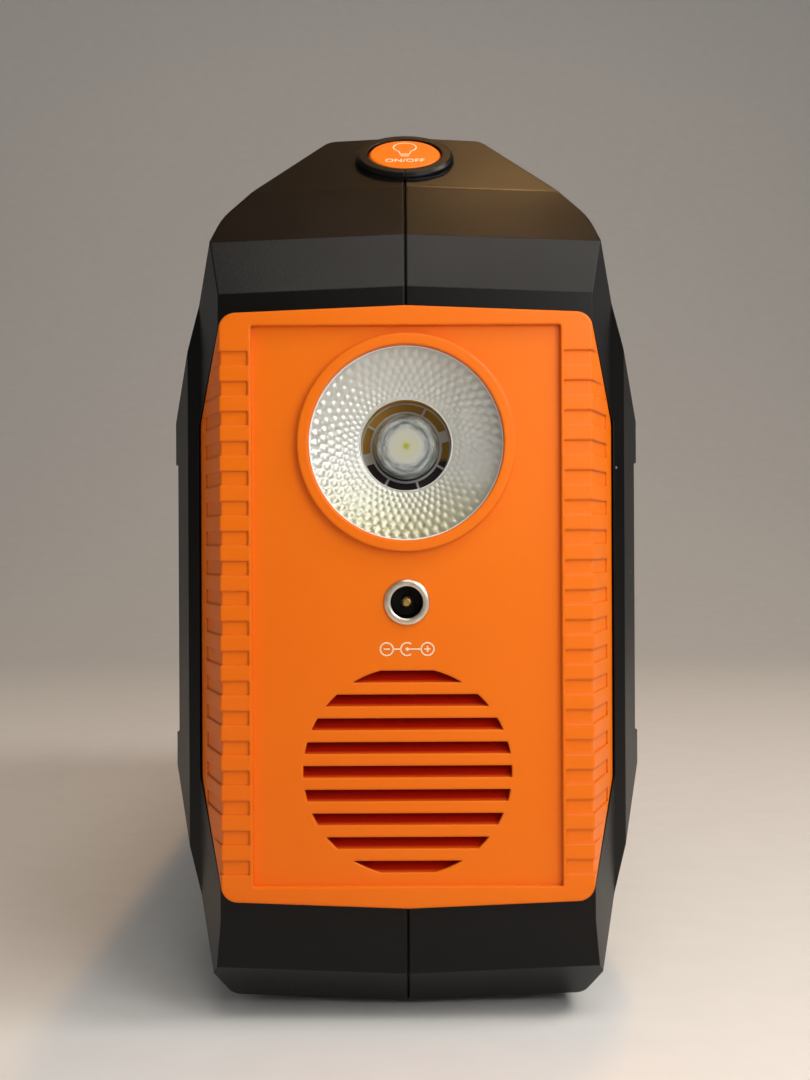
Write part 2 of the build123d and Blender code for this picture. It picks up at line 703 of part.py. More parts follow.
def lamp_heat_sink():
    plate = rod_y(0, lamp_z, sink_y, sink_y + sink_thick, sleeve_dia)
    for x, z in lamp_screw_places():
        plate = plate + rod_y(x, z, sink_y, sink_y + sink_thick, lamp_boss_dia)
    back = sink_y + sink_thick
    count = int(sleeve_dia / 2 / sink_fin_pitch)
    fins = []
    for number in range(-count, count + 1):
        x = number * sink_fin_pitch
        fins.append(slab(x - sink_fin_thick / 2, x + sink_fin_thick / 2, back - 0.5, back + sink_fin_height,
                         lamp_z - far, lamp_z + far))
    fin_room = rod_y(0, lamp_z, back - 0.5, back + sink_fin_height, sleeve_dia - 5)
    body = plate + (Compound(fins) & fin_room)
    for x, z in lamp_screw_places():
        body = body - rod_y(x, z, sink_y - 1, back + 1, lamp_screw_dia + 2 * fit_gap)
        body = body - rod_y(x, z, back, back + far, lamp_screw_head + 2 * fit_gap)
    return body


def plain_screw(start, direction, length, diameter, head_dia, head_high):
    """Flat-ended screw: the seat of its head is at start, and its shank lies along direction."""
    return Plane(origin=start, z_dir=direction) * (stud(diameter, 0, length) + stud(head_dia, -head_high, 0))


def screw(start, direction, length, diameter, head_dia, head_high):
    """The same with a bevelled head and a cross recess, where a driver reaches it from outside."""
    plane = Plane(origin=start, z_dir=direction)
    head = stud(head_dia, -head_high, 0)
    head = chamfer(head.edges().group_by(Axis.Z)[0], head_high * head_bevel)
    blade = Box(head_dia * cross_reach, head_dia * cross_width, head_high)
    cross = Pos(0, 0, -head_high) * (blade + Rot(0, 0, 90) * blade)
    return plane * (stud(diameter, 0, length) + head - cross)


def lamp_screws():
    seat = sink_y + sink_thick
    return [
        plain_screw((x, seat, z), (0, -1, 0), lamp_screw_length, lamp_screw_dia, lamp_screw_head,
                    lamp_screw_head_high)
        for x, z in lamp_screw_places()
    ]


# ================================================================ charging socket
jack_face_y = -end_y + panel_depth - jack_flange_proud
jack_barrel_end_y = -end_y + panel_depth + jack_barrel_length
jack_tail_end_y = jack_barrel_end_y + jack_tail


def dc_jack_sleeve():
    """Nickel barrel with a narrow flange in front of the panel."""
    seat_y = -end_y + panel_depth
    body = rod_y(0, jack_z, jack_face_y, seat_y, jack_flange_dia)
    body = chamfer(body.edges().group_by(Axis.Y)[0], jack_bevel)
    body = body + rod_y(0, jack_z, seat_y, jack_barrel_end_y, jack_barrel_dia)
    body = body - rod_y(0, jack_z, jack_face_y - 1, jack_barrel_end_y + 1, jack_bore)
    return body - rod_y(0, jack_z, jack_face_y + jack_lip, jack_barrel_end_y + 1, jack_barrel_bore)


def dc_jack_core():
    """Black insulating cup inside the barrel."""
    front = jack_face_y + jack_lip
    floor = jack_face_y + jack_depth
    body = rod_y(0, jack_z, front, jack_barrel_end_y, jack_barrel_bore - 2 * touch_gap)
    body = body - rod_y(0, jack_z, front - 1, floor, jack_bore)
    return body - rod_y(0, jack_z, floor - 1, jack_barrel_end_y + 1, jack_pin_root_dia)


def dc_jack_pin():
    """Centre contact, thicker where the core grips it."""
    floor = jack_face_y + jack_depth
    body = rod_y(0, jack_z, jack_face_y + jack_pin_back, floor, jack_pin_dia)
    body = chamfer(body.edges().group_by(Axis.Y)[0], jack_pin_bevel)
    return body + rod_y(0, jack_z, floor, jack_tail_end_y, jack_pin_root_dia)


def hexagon_y(x, z, flats, y_from, y_to):
    face = Plane.XZ * (Pos(x, z) * RegularPolygon(flats / 2, 6, major_radius=False))
    return Pos(0, y_to, 0) * extrude(face, amount=y_to - y_from)


def dc_jack_nut():
    front, back = cap_inner_y_lamp, cap_inner_y_lamp + jack_nut_thick
    body = hexagon_y(0, jack_z, jack_nut_flats, front, back)
    return body - rod_y(0, jack_z, front - 1, back + 1, jack_barrel_dia + 2 * screw_pilot_gap)


# ================================================================ light button
def light_button():
    """Round cap with a flange that keeps it in the shells."""
    cap = stud(light_button_dia, light_flange_low, light_button_proud)
    cap = chamfer(cap.edges().group_by(Axis.Z)[-1], button_bevel)
    flange = stud(light_button_dia + 2 * button_flange, light_flange_low, light_flange_top)
    return on_light(cap + flange)


def light_switch_board():
    board = Box(light_board_length, light_board_width, light_board_thick)
    board = Pos(0, 0, (light_board_top + light_board_low) / 2) * board
    for side in (-1, 1):
        board = board - Pos(side * light_post_out, 0, 0) * stud(board_screw_dia + 2 * fit_gap, -far, far)
    return on_light(board)


def tact_switch():
    """Small square switch standing on its board, with its plunger up Z from 0."""
    body = Pos(0, 0, switch_height / 2) * Box(switch_size, switch_size, switch_height)
    return body + stud(plunger_dia, switch_height, switch_height + plunger_height)


def light_switch():
    return on_light(tact_switch(), light_board_top)


def light_board_screws():
    outward = light_plane.z_dir
    screws = []
    for side in (-1, 1):
        start = light_plane.from_local_coords((side * light_post_out, 0, light_board_low))
        screws.append(plain_screw(start, outward, board_screw_length, board_screw_dia, board_screw_head,
                                  board_screw_head_high))
    return screws


# ================================================================ control panel
def display_window():
    inner = band_x - window_thick + window_proud
    body = slab(inner, band_x + window_proud, window_y - window_length / 2, window_y + window_length / 2,
                window_z - window_height / 2, window_z + window_height / 2)
    return fillet(body.edges().filter_by(Axis.X), window_round)


def display_module():
    back = control_board_x
    front = inner_flank_x - 0.2
    half_l = window_length / 2 - window_ledge + 1.5
    half_h = window_height / 2 - window_ledge + 1.5
    body = slab(back, front, window_y - half_l, window_y + half_l, window_z - half_h, window_z + half_h)
    return body


def control_board():
    half_l, half_h = control_board_length / 2, control_board_height / 2
    board = slab(control_board_low_x, control_board_x, -half_l, half_l, window_z - half_h, window_z + half_h)
    for y, z in control_post_places():
        board = board - rod_x(y, z, control_board_low_x - 1, control_board_x + 1,
                              board_screw_dia + 2 * fit_gap)
    return board


def side_button(diameter, y, z):
    """Push button in the flank, kept by a flange behind the wall."""
    flange_face = inner_flank_x - touch_gap
    back = flange_face - button_flange_thick
    head = rod_x(y, z, back, band_x + side_button_proud, diameter)
    head = chamfer(head.edges().group_by(Axis.X)[-1], button_bevel)
    return head + rod_x(y, z, back, flange_face, diameter + 2 * button_flange)


def side_switches():
    """One switch behind each of the two buttons in the flank."""
    flange_back_x = inner_flank_x - touch_gap - button_flange_thick
    height = flange_back_x - side_travel - 0.1 - control_board_x
    switches = []
    for y, z in ((power_y, power_z), (boost_y, boost_z)):
        base = slab(control_board_x, control_board_x + height - plunger_height, y - switch_size / 2,
                    y + switch_size / 2, z - switch_size / 2, z + switch_size / 2)
        switches.append(base + rod_x(y, z, control_board_x, control_board_x + height, plunger_dia))
    return switches


def control_screws():
    return [
        plain_screw((control_board_low_x, y, z), (1, 0, 0), board_screw_length, board_screw_dia,
                    board_screw_head, board_screw_head_high)
        for y, z in control_post_places()
    ]


# ================================================================ rear cap and its sockets
# Everything here is drawn at the lamp end and then mirrored to the rear.
pocket_floor_y = -end_y + panel_depth + cover_pocket_depth
cover_back_y = pocket_floor_y - cover_gap
hinge_y = cover_back_y - hinge_barrel_dia / 2
backing_y = pocket_floor_y + cap_wall
usb_block_width = usb_spacing + usb_width


def cover_size(width, height):
    """Full width of a cover, and its reach below the hinge axis."""
    return width + 2 * cover_margin, height + 2 * cover_margin + hinge_barrel_dia / 2


def hinge_height(z, height):
    return z + height / 2 + cover_margin + hinge_barrel_dia / 2


def cover_pocket(z, width, height):
    """Hollow in the cap for a cover, with the hinge along its top."""
    cover_width, reach = cover_size(width, height)
    top = hinge_height(z, height) + hinge_barrel_dia / 2 + cover_gap
    low = hinge_height(z, height) - reach - cover_gap
    full_width = cover_width + 2 * cover_gap
    pocket_round = cover_round + cover_gap
    hollow = block_y(0, (top + low) / 2, full_width, top - low, -end_y - 1, pocket_floor_y, pocket_round)
    square = slab(-full_width / 2, full_width / 2, -end_y - 1, pocket_floor_y, top - pocket_round, top)
    notch = rod_y(0, low, -end_y - 1, pocket_floor_y, thumb_notch_width)
    notch = notch & slab(-far, far, -far, far, low - thumb_notch_depth, top)
    grip = hinge_pin_grip + cover_gap
    pin = rod_x(hinge_y, hinge_height(z, height), -cover_width / 2 - grip, cover_width / 2 + grip,
                hinge_pin_dia + 2 * screw_pilot_gap)
    return hollow + square + notch + pin


def cover_backing(z, width, height):
    """Thicker part of the cap behind a pocket."""
    cover_width, reach = cover_size(width, height)
    top = hinge_height(z, height) + hinge_barrel_dia / 2 + cover_gap + cap_wall
    low = hinge_height(z, height) - reach - cover_gap - cap_wall - thumb_notch_depth
    full_width = cover_width + 2 * (hinge_pin_grip + cover_gap + 1.0)
    return block_y(0, (top + low) / 2, full_width, top - low, -end_y + panel_depth, backing_y, 1.5)


def usb_rails():
    """Two rails under the board that carries the USB ports."""
    high = usb_z - usb_height / 2 - usb_board_thick
    rails = []
    for side in (-1, 1):
        outer = usb_block_width / 2 + usb_board_overlap
        x_from, x_to = sorted((side * outer, side * (outer - usb_rail_width)))
        rails.append(slab(x_from, x_to, backing_y - 0.5, backing_y + usb_board_length + 1.0,
                          high - usb_rail_height, high))
    return rails


def usb_screw_places():
    outer = usb_block_width / 2 + usb_board_overlap - usb_rail_width / 2
    return [(side * outer, backing_y + usb_board_length * 0.7) for side in (-1, 1)]


def rear_cap():
    """Orange end piece with the pockets of the jump socket and the USB ports."""
    cap = blank_cap()
    pairs = ((socket_z, socket_width, socket_height), (usb_z, usb_block_width, usb_height))
    for z, width, height in pairs:
        cap = cap + cover_backing(z, width, height)
    for rail in usb_rails():
        cap = cap + rail
    for z, width, height in pairs:
        cap = cap - cover_pocket(z, width, height)
    cap = cap - block_y(0, socket_z, socket_width + 2 * fit_gap, socket_height + 2 * fit_gap,
                        -end_y, backing_y + 1, socket_round + fit_gap)
    for side in (-1, 1):
        cap = cap - block_y(side * usb_spacing / 2, usb_z, usb_width + 2 * fit_gap, usb_height + 2 * fit_gap,
                            -end_y, backing_y + 1, 0.6)
    high = usb_z - usb_height / 2 - usb_board_thick
    for x, y in usb_screw_places():
        cap = cap - rod_z(x, y, high + 1, high + usb_board_thick - board_screw_length + 0.9,
                          board_screw_dia + 2 * screw_pilot_gap)
    return rear(cap)


def hinged_cover(z, width, height):
    """Flap with a barrel along its top, a sealing rim behind and ribs for the thumb."""
    cover_width, reach = cover_size(width, height)
    axis_z = hinge_height(z, height)
    low = axis_z - reach
    front_y = hinge_y - hinge_barrel_dia / 2
    back_y = front_y + cover_thick
    plate = block_y(0, (axis_z + low) / 2, cover_width, axis_z - low, front_y, back_y, cover_round)
    square_top = slab(-cover_width / 2, cover_width / 2, front_y, back_y, axis_z - cover_round, axis_z)
    barrel = rod_x(hinge_y, axis_z, -cover_width / 2, cover_width / 2, hinge_barrel_dia)
    rim_width, rim_height = cover_width - cover_margin, reach - hinge_barrel_dia / 2 - cover_margin / 2
    rim_z = low + cover_margin / 2 + rim_height / 2 - cover_margin / 4
    rim = block_y(0, rim_z, rim_width, rim_height, back_y - 0.2, cover_back_y, cover_round)
    rim_room = block_y(0, rim_z, rim_width - 2 * cover_rim, rim_height - 2 * cover_rim, back_y,
                       cover_back_y + 1, cover_round - cover_rim)
    body = plate + square_top + barrel + (rim - rim_room)
    for number in range(thumb_ribs):
        rib_z = low + thumb_rib_pitch * (number + 1.5)
        body = body + slab(-thumb_notch_width / 2, thumb_notch_width / 2, front_y - thumb_rib_out,
                           front_y + 0.2, rib_z - thumb_rib_out, rib_z + thumb_rib_out)
    bore = rod_x(hinge_y, axis_z, -cover_width, cover_width, hinge_pin_dia + 2 * touch_gap)
    return rear(body - bore)


def cover_pin(z, width, height):
    cover_width, reach = cover_size(width, height)
    half = cover_width / 2 + cover_gap + hinge_pin_grip
    return rear(rod_x(hinge_y, hinge_height(z, height), -half, half, hinge_pin_dia))


socket_front_y = pocket_floor_y + touch_gap
socket_back_y = socket_front_y + socket_length
contact_front_y = socket_front_y + contact_recess


def jump_socket():
    """Two-way housing with a deep well round each contact."""
    body = block_y(0, socket_z, socket_width, socket_height, socket_front_y, socket_back_y, socket_round)
    flange = block_y(0, socket_z, socket_width + 2 * socket_flange, socket_height + 2 * socket_flange,
                     backing_y + touch_gap, backing_y + touch_gap + socket_flange_thick, socket_round)
    body = body + flange
    for side in (-1, 1):
        x = side * contact_spacing / 2
        body = body - rod_y(x, socket_z, socket_front_y - 1, socket_front_y + socket_length * 0.6,
                            contact_well_dia)
        body = body - rod_y(x, socket_z, socket_front_y, socket_back_y + 1, contact_dia + 2 * touch_gap)
    return rear(body)


def jump_contacts():
    """One plated tube for each pole."""
    tubes = []
    for side in (-1, 1):
        x = side * contact_spacing / 2
        tube = rod_y(x, socket_z, contact_front_y, contact_front_y + contact_length, contact_dia)
        bore = rod_y(x, socket_z, contact_front_y - 1, contact_front_y + contact_length * 0.6, contact_bore)
        tubes.append(rear(tube - bore))
    return tubes


def usb_ports():
    """Bent steel shell of each port."""
    ports = []
    for side in (-1, 1):
        x = side * usb_spacing / 2
        front = pocket_floor_y + touch_gap
        shell = block_y(x, usb_z, usb_width, usb_height, front, front + usb_depth, 0.5)
        room = block_y(x, usb_z, usb_width - 2 * usb_shell_wall, usb_height - 2 * usb_shell_wall,
                       front - 1, front + usb_depth + 1, 0.2)
        ports.append(rear(shell - room))
    return ports


def usb_tongues():
    """Insulating tongue of each port, on a block that closes its back."""
    tongues = []
    for side in (-1, 1):
        x = side * usb_spacing / 2
        front = pocket_floor_y + touch_gap
        half_w = usb_width / 2 - usb_shell_wall - touch_gap
        half_h = usb_height / 2 - usb_shell_wall - touch_gap
        block = slab(x - half_w, x + half_w, front + usb_depth - 3, front + usb_depth, usb_z - half_h,
                     usb_z + half_h)
        tongue = slab(x - usb_tongue_width / 2, x + usb_tongue_width / 2, front + 1.5, front + usb_depth - 3,
                      usb_z + half_h - usb_tongue_thick - 0.6, usb_z + half_h - 0.6)
        tongues.append(rear(block + tongue))
    return tongues


def usb_board():
    high = usb_z - usb_height / 2
    half = usb_block_width / 2 + usb_board_overlap
    board = slab(-half, half, backing_y + 0.3, backing_y + usb_board_length, high - usb_board_thick, high)
    for x, y in usb_screw_places():
        board = board - rod_z(x, y, high + 1, high - usb_board_thick - 1, board_screw_dia + 2 * fit_gap)
    return rear(board)


def usb_screws():
    high = usb_z - usb_height / 2
    length = board_screw_length - 1.5
    return [
        rear(plain_screw((x, y, high), (0, 0, -1), length, board_screw_dia, board_screw_head,
                         board_screw_head_high))
        for x, y in usb_screw_places()
    ]


# ================================================================ battery and main board
battery_top_z = battery_floor_z + battery_height


def battery_case():
    """Sealed block with a welded lid, stepped in all round."""
    half_l, half_w = battery_length / 2, battery_width / 2
    lid_z = battery_top_z - battery_lid_height
    case = slab(-half_w, half_w, -half_l, half_l, battery_floor_z, lid_z)
    lid = slab(-half_w + battery_lid_step, half_w - battery_lid_step, -half_l + battery_lid_step,
               half_l - battery_lid_step, lid_z, battery_top_z)
    case = fillet(case.edges().filter_by(Axis.Z), battery_case_round)
    lid = fillet(lid.edges().filter_by(Axis.Z), battery_lid_round)
    return case + lid


def battery_terminals():
    """Flat push-on tab of each pole."""
    return [
        slab(side * terminal_x - terminal_thick / 2, side * terminal_x + terminal_thick / 2,
             terminal_y - terminal_width / 2, terminal_y + terminal_width / 2, battery_top_z,
             battery_top_z + terminal_height)
        for side in (-1, 1)
    ]


def battery_pads():
    """Foam strips pressed between the battery and the ribs above it."""
    pads = []
    for side_x in (-1, 1):
        for side_y in (-1, 1):
            x_from, x_to = sorted((side_x * pad_x, side_x * (pad_x + pad_length)))
            y = side_y * pad_y
            pads.append(slab(x_from, x_to, y - pad_width / 2, y + pad_width / 2, battery_top_z,
                             battery_top_z + pad_thick))
    return pads


def main_board():
    half_l, half_w = board_length / 2, board_width / 2
    board = slab(-half_w, half_w, -half_l, half_l, board_low_z, board_top_z)
    for x, y in board_post_places():
        board = board - rod_z(x, y, board_low_z - 1, board_top_z + 1, board_screw_dia + 2 * fit_gap)
    return board


def board_screws():
    return [
        plain_screw((x, y, board_low_z), (0, 0, 1), board_screw_length, board_screw_dia, board_screw_head,
                    board_screw_head_high)
        for x, y in board_post_places()
    ]


def board_relay():
    """Sealed relay that switches the jump current."""
    x, y = -board_width / 4, board_length / 5
    body = slab(x - relay_width / 2, x + relay_width / 2, y - relay_length / 2, y + relay_length / 2,
                board_low_z - relay_height, board_low_z)
    return fillet(body.edges().filter_by(Axis.Z), relay_round)


def board_capacitors():
    """Round capacitors in a row under the board."""
    cans = []
    for number in range(capacitor_count):
        x = board_width / 5
        y = -board_length / 10 - number * (capacitor_dia + capacitor_gap)
        can = rod_z(x, y, board_low_z, board_low_z - capacitor_length, capacitor_dia)
        cans.append(chamfer(can.edges().group_by(Axis.Z)[0], capacitor_bevel))
    return cans


def board_heat_sink():
    """Finned bar on the board's power transistors."""
    x, y = board_width / 4, board_length / 5
    half_l, half_w = board_sink_length / 2, board_sink_width / 2
    base = slab(x - half_w, x + half_w, y - half_l, y + half_l, board_low_z - 2, board_low_z)
    pitch = board_sink_width / board_sink_fins
    body = base
    for number in range(board_sink_fins):
        fin_x = x - half_w + pitch * (number + 0.5)
        body = body + slab(fin_x - pitch / 4, fin_x + pitch / 4, y - half_l, y + half_l,
                           board_low_z - board_sink_height, board_low_z - 2)
    return body


def wire(points, radius, diameter):
    """Round lead along straight runs joined by arcs."""
    path = FilletPolyline(*points, radius=radius)
    start = Plane(origin=path @ 0, z_dir=path % 0)
    return sweep(start * Circle(diameter / 2), path=path)


def power_lead(side):
    """Short thick lead from a jump contact to a battery tab, with its lug."""
    contact_back_y = -(contact_front_y + contact_length)
    x = side * contact_spacing / 2
    z = socket_z
    lug_z = battery_top_z + terminal_height / 2 + 0.4
    tab_x = side * (terminal_x - terminal_thick / 2)
    points = [(x, contact_back_y, z), (x, terminal_y, z), (tab_x - side * lug_thick * 0.9, terminal_y, lug_z)]
    lead = wire(points, power_lead_bend, lead_dia)
    x_from, x_to = sorted((tab_x, tab_x - side * lug_thick))
    lug = slab(x_from, x_to, terminal_y - terminal_width / 2, terminal_y + terminal_width / 2,
               lug_z - lug_length / 2 + 0.3, lug_z + lug_length / 2)
    return lead + lug


def lamp_lead():
    """Lead from the lamp's board, between the fins of its heat sink, to the main board."""
    end_run = -board_length / 2 + 4
    z = lamp_z - lamp_lead_drop
    return wire([(lamp_lead_x, sink_y, z), (lamp_lead_x, end_run, z), (lamp_lead_x, end_run, board_low_z)],
                lamp_lead_bend, thin_lead_dia)


def charge_lead():
    """Lead from the charging socket up to the main board."""
    start_y = jack_tail_end_y
    rise_y = start_y + 10
    z = battery_top_z + 4.0
    end_run = -board_length / 2 + 10
    points = [
        (0, start_y, jack_z),
        (0, rise_y, jack_z),
        (0, rise_y, z),
        (0, end_run, z),
        (0, end_run, board_low_z),
    ]
    return wire(points, charge_lead_bend, thin_lead_dia)


lamp_lead_x = sink_fin_pitch / 2


# ================================================================ feet and shell screws
def rubber_feet():
    return [
        chamfer(rod_z(side_x * foot_x, side_y * foot_y, 0, foot_thick, foot_dia).edges().group_by(Axis.Z)[0],
                foot_bevel)
        for side_x in (-1, 1)
        for side_y in (-1, 1)
    ]


def shell_screws():
    return [
        screw((-screw_seat_x, y, z), (1, 0, 0), screw_seat_x + screw_reach, screw_dia, screw_head_dia,
              screw_head_high)
        for y, z in shell_screw_places()
    ]


# ================================================================ the assembly
def assembly():
    """Every node of the pack, by name."""
    left, right = left_and_right_shell()
    socket = (socket_z, socket_width, socket_height)
    usb = (usb_z, usb_block_width, usb_height)
    sink = lamp_heat_sink() - rod_y(lamp_lead_x, lamp_z - lamp_lead_drop, sink_y - 1,
                                    sink_y + sink_thick + 1, thin_lead_dia + 2 * fit_gap)
    return {
        "left_shell": left,
        "right_shell": right,
        "front_cap": front_cap(),
        "rear_cap": rear_cap(),
        "lamp_lens": lamp_lens(),
        "lamp_reflector": lamp_reflector(),
        "lamp_core": lamp_core(),
        "lamp_core_carrier": lamp_core_carrier(),
        "led_board": led_board(),
        "led_emitter": led_emitter(),
        "lamp_heat_sink": sink,
        "lamp_screws": lamp_screws(),
        "lamp_lead": lamp_lead(),
        "dc_jack_sleeve": dc_jack_sleeve(),
        "dc_jack_core": dc_jack_core(),
        "dc_jack_pin": dc_jack_pin(),
        "dc_jack_nut": dc_jack_nut(),
        "charge_lead": charge_lead(),
        "light_button": light_button(),
        "light_switch": light_switch(),
        "light_switch_board": light_switch_board(),
        "light_board_screws": light_board_screws(),
        "display_window": display_window(),
        "display_module": display_module(),
        "control_board": control_board(),
        "control_switches": side_switches(),
        "control_screws": control_screws(),
        "power_button": side_button(power_dia, power_y, power_z),
        "boost_button": side_button(boost_dia, boost_y, boost_z),
        "battery_case": battery_case(),
        "battery_terminals": battery_terminals(),
        "battery_pads": battery_pads(),
        "positive_lead": power_lead(1),
        "negative_lead": power_lead(-1),
        "main_board": main_board(),
        "board_screws": board_screws(),
        "board_relay": board_relay(),
        "board_capacitors": board_capacitors(),
        "board_heat_sink": board_heat_sink(),
        "jump_socket": jump_socket(),
        "jump_contacts": jump_contacts(),
        "socket_cover": hinged_cover(*socket),
        "socket_cover_pin": cover_pin(*socket),
        "usb_ports": usb_ports(),
        "usb_tongues": usb_tongues(),
        "usb_board": usb_board(),
        "usb_screws": usb_screws(),
        "usb_cover": hinged_cover(*usb),
        "usb_cover_pin": cover_pin(*usb),
        "rubber_feet": rubber_feet(),
        "shell_screws": shell_screws(),
    }


os.makedirs("parts", exist_ok=True)
for name, shape in assembly().items():
    solids = shape if isinstance(shape, list) else [shape]
    loose = [solid for item in solids for solid in item.solids()]
    export_step(loose[0] if len(loose) == 1 else Compound(loose), "parts/" + name + ".step")
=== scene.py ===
"""Jump starter pack, dressed for the camera: housing, caps, lamp, sockets, buttons and printing."""
from math import atan2, cos, hypot, log, pi, radians, sin
import json

import bmesh
import bpy
from mathutils import Matrix, Vector

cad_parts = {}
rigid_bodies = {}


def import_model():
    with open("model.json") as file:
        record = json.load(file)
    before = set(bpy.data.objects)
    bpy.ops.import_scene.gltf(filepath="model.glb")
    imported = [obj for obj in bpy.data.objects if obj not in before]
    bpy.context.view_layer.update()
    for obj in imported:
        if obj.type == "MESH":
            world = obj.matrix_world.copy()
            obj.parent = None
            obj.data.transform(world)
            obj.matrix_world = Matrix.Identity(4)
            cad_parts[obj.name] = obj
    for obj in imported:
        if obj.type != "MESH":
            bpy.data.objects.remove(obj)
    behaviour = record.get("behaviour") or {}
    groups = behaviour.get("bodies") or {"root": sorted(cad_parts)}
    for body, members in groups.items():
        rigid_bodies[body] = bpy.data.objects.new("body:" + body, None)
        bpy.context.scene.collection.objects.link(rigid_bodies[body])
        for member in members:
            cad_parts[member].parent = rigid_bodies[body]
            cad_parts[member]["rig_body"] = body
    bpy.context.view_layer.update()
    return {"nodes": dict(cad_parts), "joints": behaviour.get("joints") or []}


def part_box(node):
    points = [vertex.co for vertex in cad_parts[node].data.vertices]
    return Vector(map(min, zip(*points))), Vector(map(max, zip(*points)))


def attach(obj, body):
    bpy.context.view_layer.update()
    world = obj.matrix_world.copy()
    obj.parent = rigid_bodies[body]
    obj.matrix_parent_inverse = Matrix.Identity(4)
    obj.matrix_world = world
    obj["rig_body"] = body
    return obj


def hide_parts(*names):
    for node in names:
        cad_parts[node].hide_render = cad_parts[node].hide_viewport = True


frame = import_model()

MM = 0.001

# ---------------------------------------------------------------- camera
# A hand-held view of the lamp end, square on, from just under a quarter of a metre.
# The camera stands level with the middle of the housing.
camera_data = bpy.data.cameras.new("camera")
camera_data.lens = 40.0
camera_data.sensor_width = 36.0
camera_data.clip_start = 0.01
camera = bpy.data.objects.new("camera", camera_data)
bpy.context.scene.collection.objects.link(camera)
camera_distance = 234 * MM
camera_height = 96.5 * MM
camera_side = -0.3 * MM
camera_roll = radians(-0.27)
front_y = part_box("front_cap")[0].y
camera.matrix_world = (
    Matrix.Translation((camera_side, front_y - camera_distance, camera_height))
    @ Matrix.Rotation(radians(90), 4, "X")
    @ Matrix.Rotation(camera_roll, 4, "Z")
)
bpy.context.scene.camera = camera
bpy.context.scene.view_settings.view_transform = "Standard"


# ---------------------------------------------------------------- studio
# A pale paper sweep: floor and back wall in one sheet with a wide bend.
# A near panel to the right falls off across the end, and a window behind the viewer lays a
# sheen over its right half. A dim one fills from the left. Two hang overhead, to the front and
# the right, with a small warm lamp that glints on the edges.
def colour(hex_code):
    """Linear colour of an sRGB hex code."""
    channels = [int(hex_code[i:i + 2], 16) / 255 for i in (1, 3, 5)]
    linear = [c / 12.92 if c <= 0.04045 else ((c + 0.055) / 1.055) ** 2.4 for c in channels]
    return (*linear, 1.0)


def add(tree, kind, links=None, **settings):
    """Adds a node with its settings; links maps input names to values or sockets."""
    node = tree.nodes.new(kind)
    for name, value in settings.items():
        setattr(node, name, value)
    for name, value in (links or {}).items():
        if isinstance(value, bpy.types.NodeSocket):
            tree.links.new(value, node.inputs[name])
        else:
            node.inputs[name].default_value = value
    return node


def new_material(name):
    """Empty node material, with its tree."""
    material = bpy.data.materials.new(name)
    material.use_nodes = True
    material.node_tree.nodes.clear()
    return material, material.node_tree


def new_piece(name, mesh_maker, material, body):
    """Object whose mesh mesh_maker fills in, at the origin, riding on a body."""
    mesh = bpy.data.meshes.new(name)
    bm = bmesh.new()
    mesh_maker(bm)
    bm.to_mesh(mesh)
    bm.free()
    piece = bpy.data.objects.new(name, mesh)
    bpy.context.scene.collection.objects.link(piece)
    piece.data.materials.append(material)
    if body:
        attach(piece, body)
    return piece


# Matt uncoated paper: its clumps of fibre break the tone up a little.
fibre_clumps = 240.0       # across the whole sweep, drawn coarse so that they show from here
paper, tree = new_material("matt_paper_sweep")
fibre = add(tree, "ShaderNodeTexNoise", {"Scale": fibre_clumps, "Detail": 4.0})
tint = add(tree, "ShaderNodeMix", {"Factor": fibre.outputs["Fac"], 6: colour("#DAD8D5"),
                                   7: colour("#E2E0DD")}, data_type="RGBA")
bsdf = add(tree, "ShaderNodeBsdfPrincipled", {"Base Color": tint.outputs[2], "Roughness": 0.9})
add(tree, "ShaderNodeOutputMaterial", {"Surface": bsdf.outputs[0]})

sweep_width, sweep_front, sweep_back, sweep_height, sweep_bend = 3.0, -1.2, 1.3, 2.0, 0.7


def paper_sweep(bm):
    """One front edge, pulled back and then up, with its fold rounded."""
    front = [bm.verts.new((x, sweep_front, 0)) for x in (-sweep_width / 2, sweep_width / 2)]
    edge = bm.edges.new(front)
    parts = [edge]
    for step in ((0, sweep_back - sweep_front, 0), (0, 0, sweep_height)):
        made = bmesh.ops.extrude_edge_only(bm, edges=[parts[-1]])["geom"]
        moved = [v for v in made if isinstance(v, bmesh.types.BMVert)]
        bmesh.ops.translate(bm, verts=moved, vec=step)
        parts.append(next(e for e in made if isinstance(e, bmesh.types.BMEdge)
                          and set(e.verts) == set(moved)))
    bmesh.ops.bevel(bm, geom=[parts[1]], offset=sweep_bend, segments=24, profile=0.5,
                    affect="EDGES", material=-1)
    bmesh.ops.recalc_face_normals(bm, faces=bm.faces)
    for face in bm.faces:
        face.smooth = True


new_piece("paper_sweep", paper_sweep, paper, None)

middle = (0, 0, camera_height)


def soft_panel(name, place, size, watts, hue):
    """Soft light, of a width and a height in metres, that looks at the middle of the pack."""
    data = bpy.data.lights.new(name, "AREA")
    data.shape = "RECTANGLE"
    data.size, data.size_y = size
    data.energy = watts
    data.color = colour(hue)[:3]
    panel = bpy.data.objects.new(name, data)
    bpy.context.scene.collection.objects.link(panel)
    panel.location = place
    panel.rotation_euler = (Vector(middle) - Vector(place)).to_track_quat("-Z", "Y").to_euler()


soft_panel("key_right", (0.15, -0.28, 0.21), (0.14, 0.2), 0.4, "#FFFDFA")
soft_panel("window", (0.17, -0.9, 0.29), (0.25, 0.3), 0.45, "#FFFDFA")
soft_panel("fill_left", (-0.9, -0.7, 0.35), (0.8, 0.8), 0.6, "#FAFBFF")
soft_panel("over_front", (0.12, -0.5, 1.0), (0.6, 0.35), 3.0, "#FFFBF4")
soft_panel("over_right", (0.6, -0.25, 0.75), (0.3, 0.3), 3.4, "#FFFBF4")
soft_panel("small_lamp", (0.13, 0.15, 1.1), (0.07, 0.07), 2.2, "#FFC680")

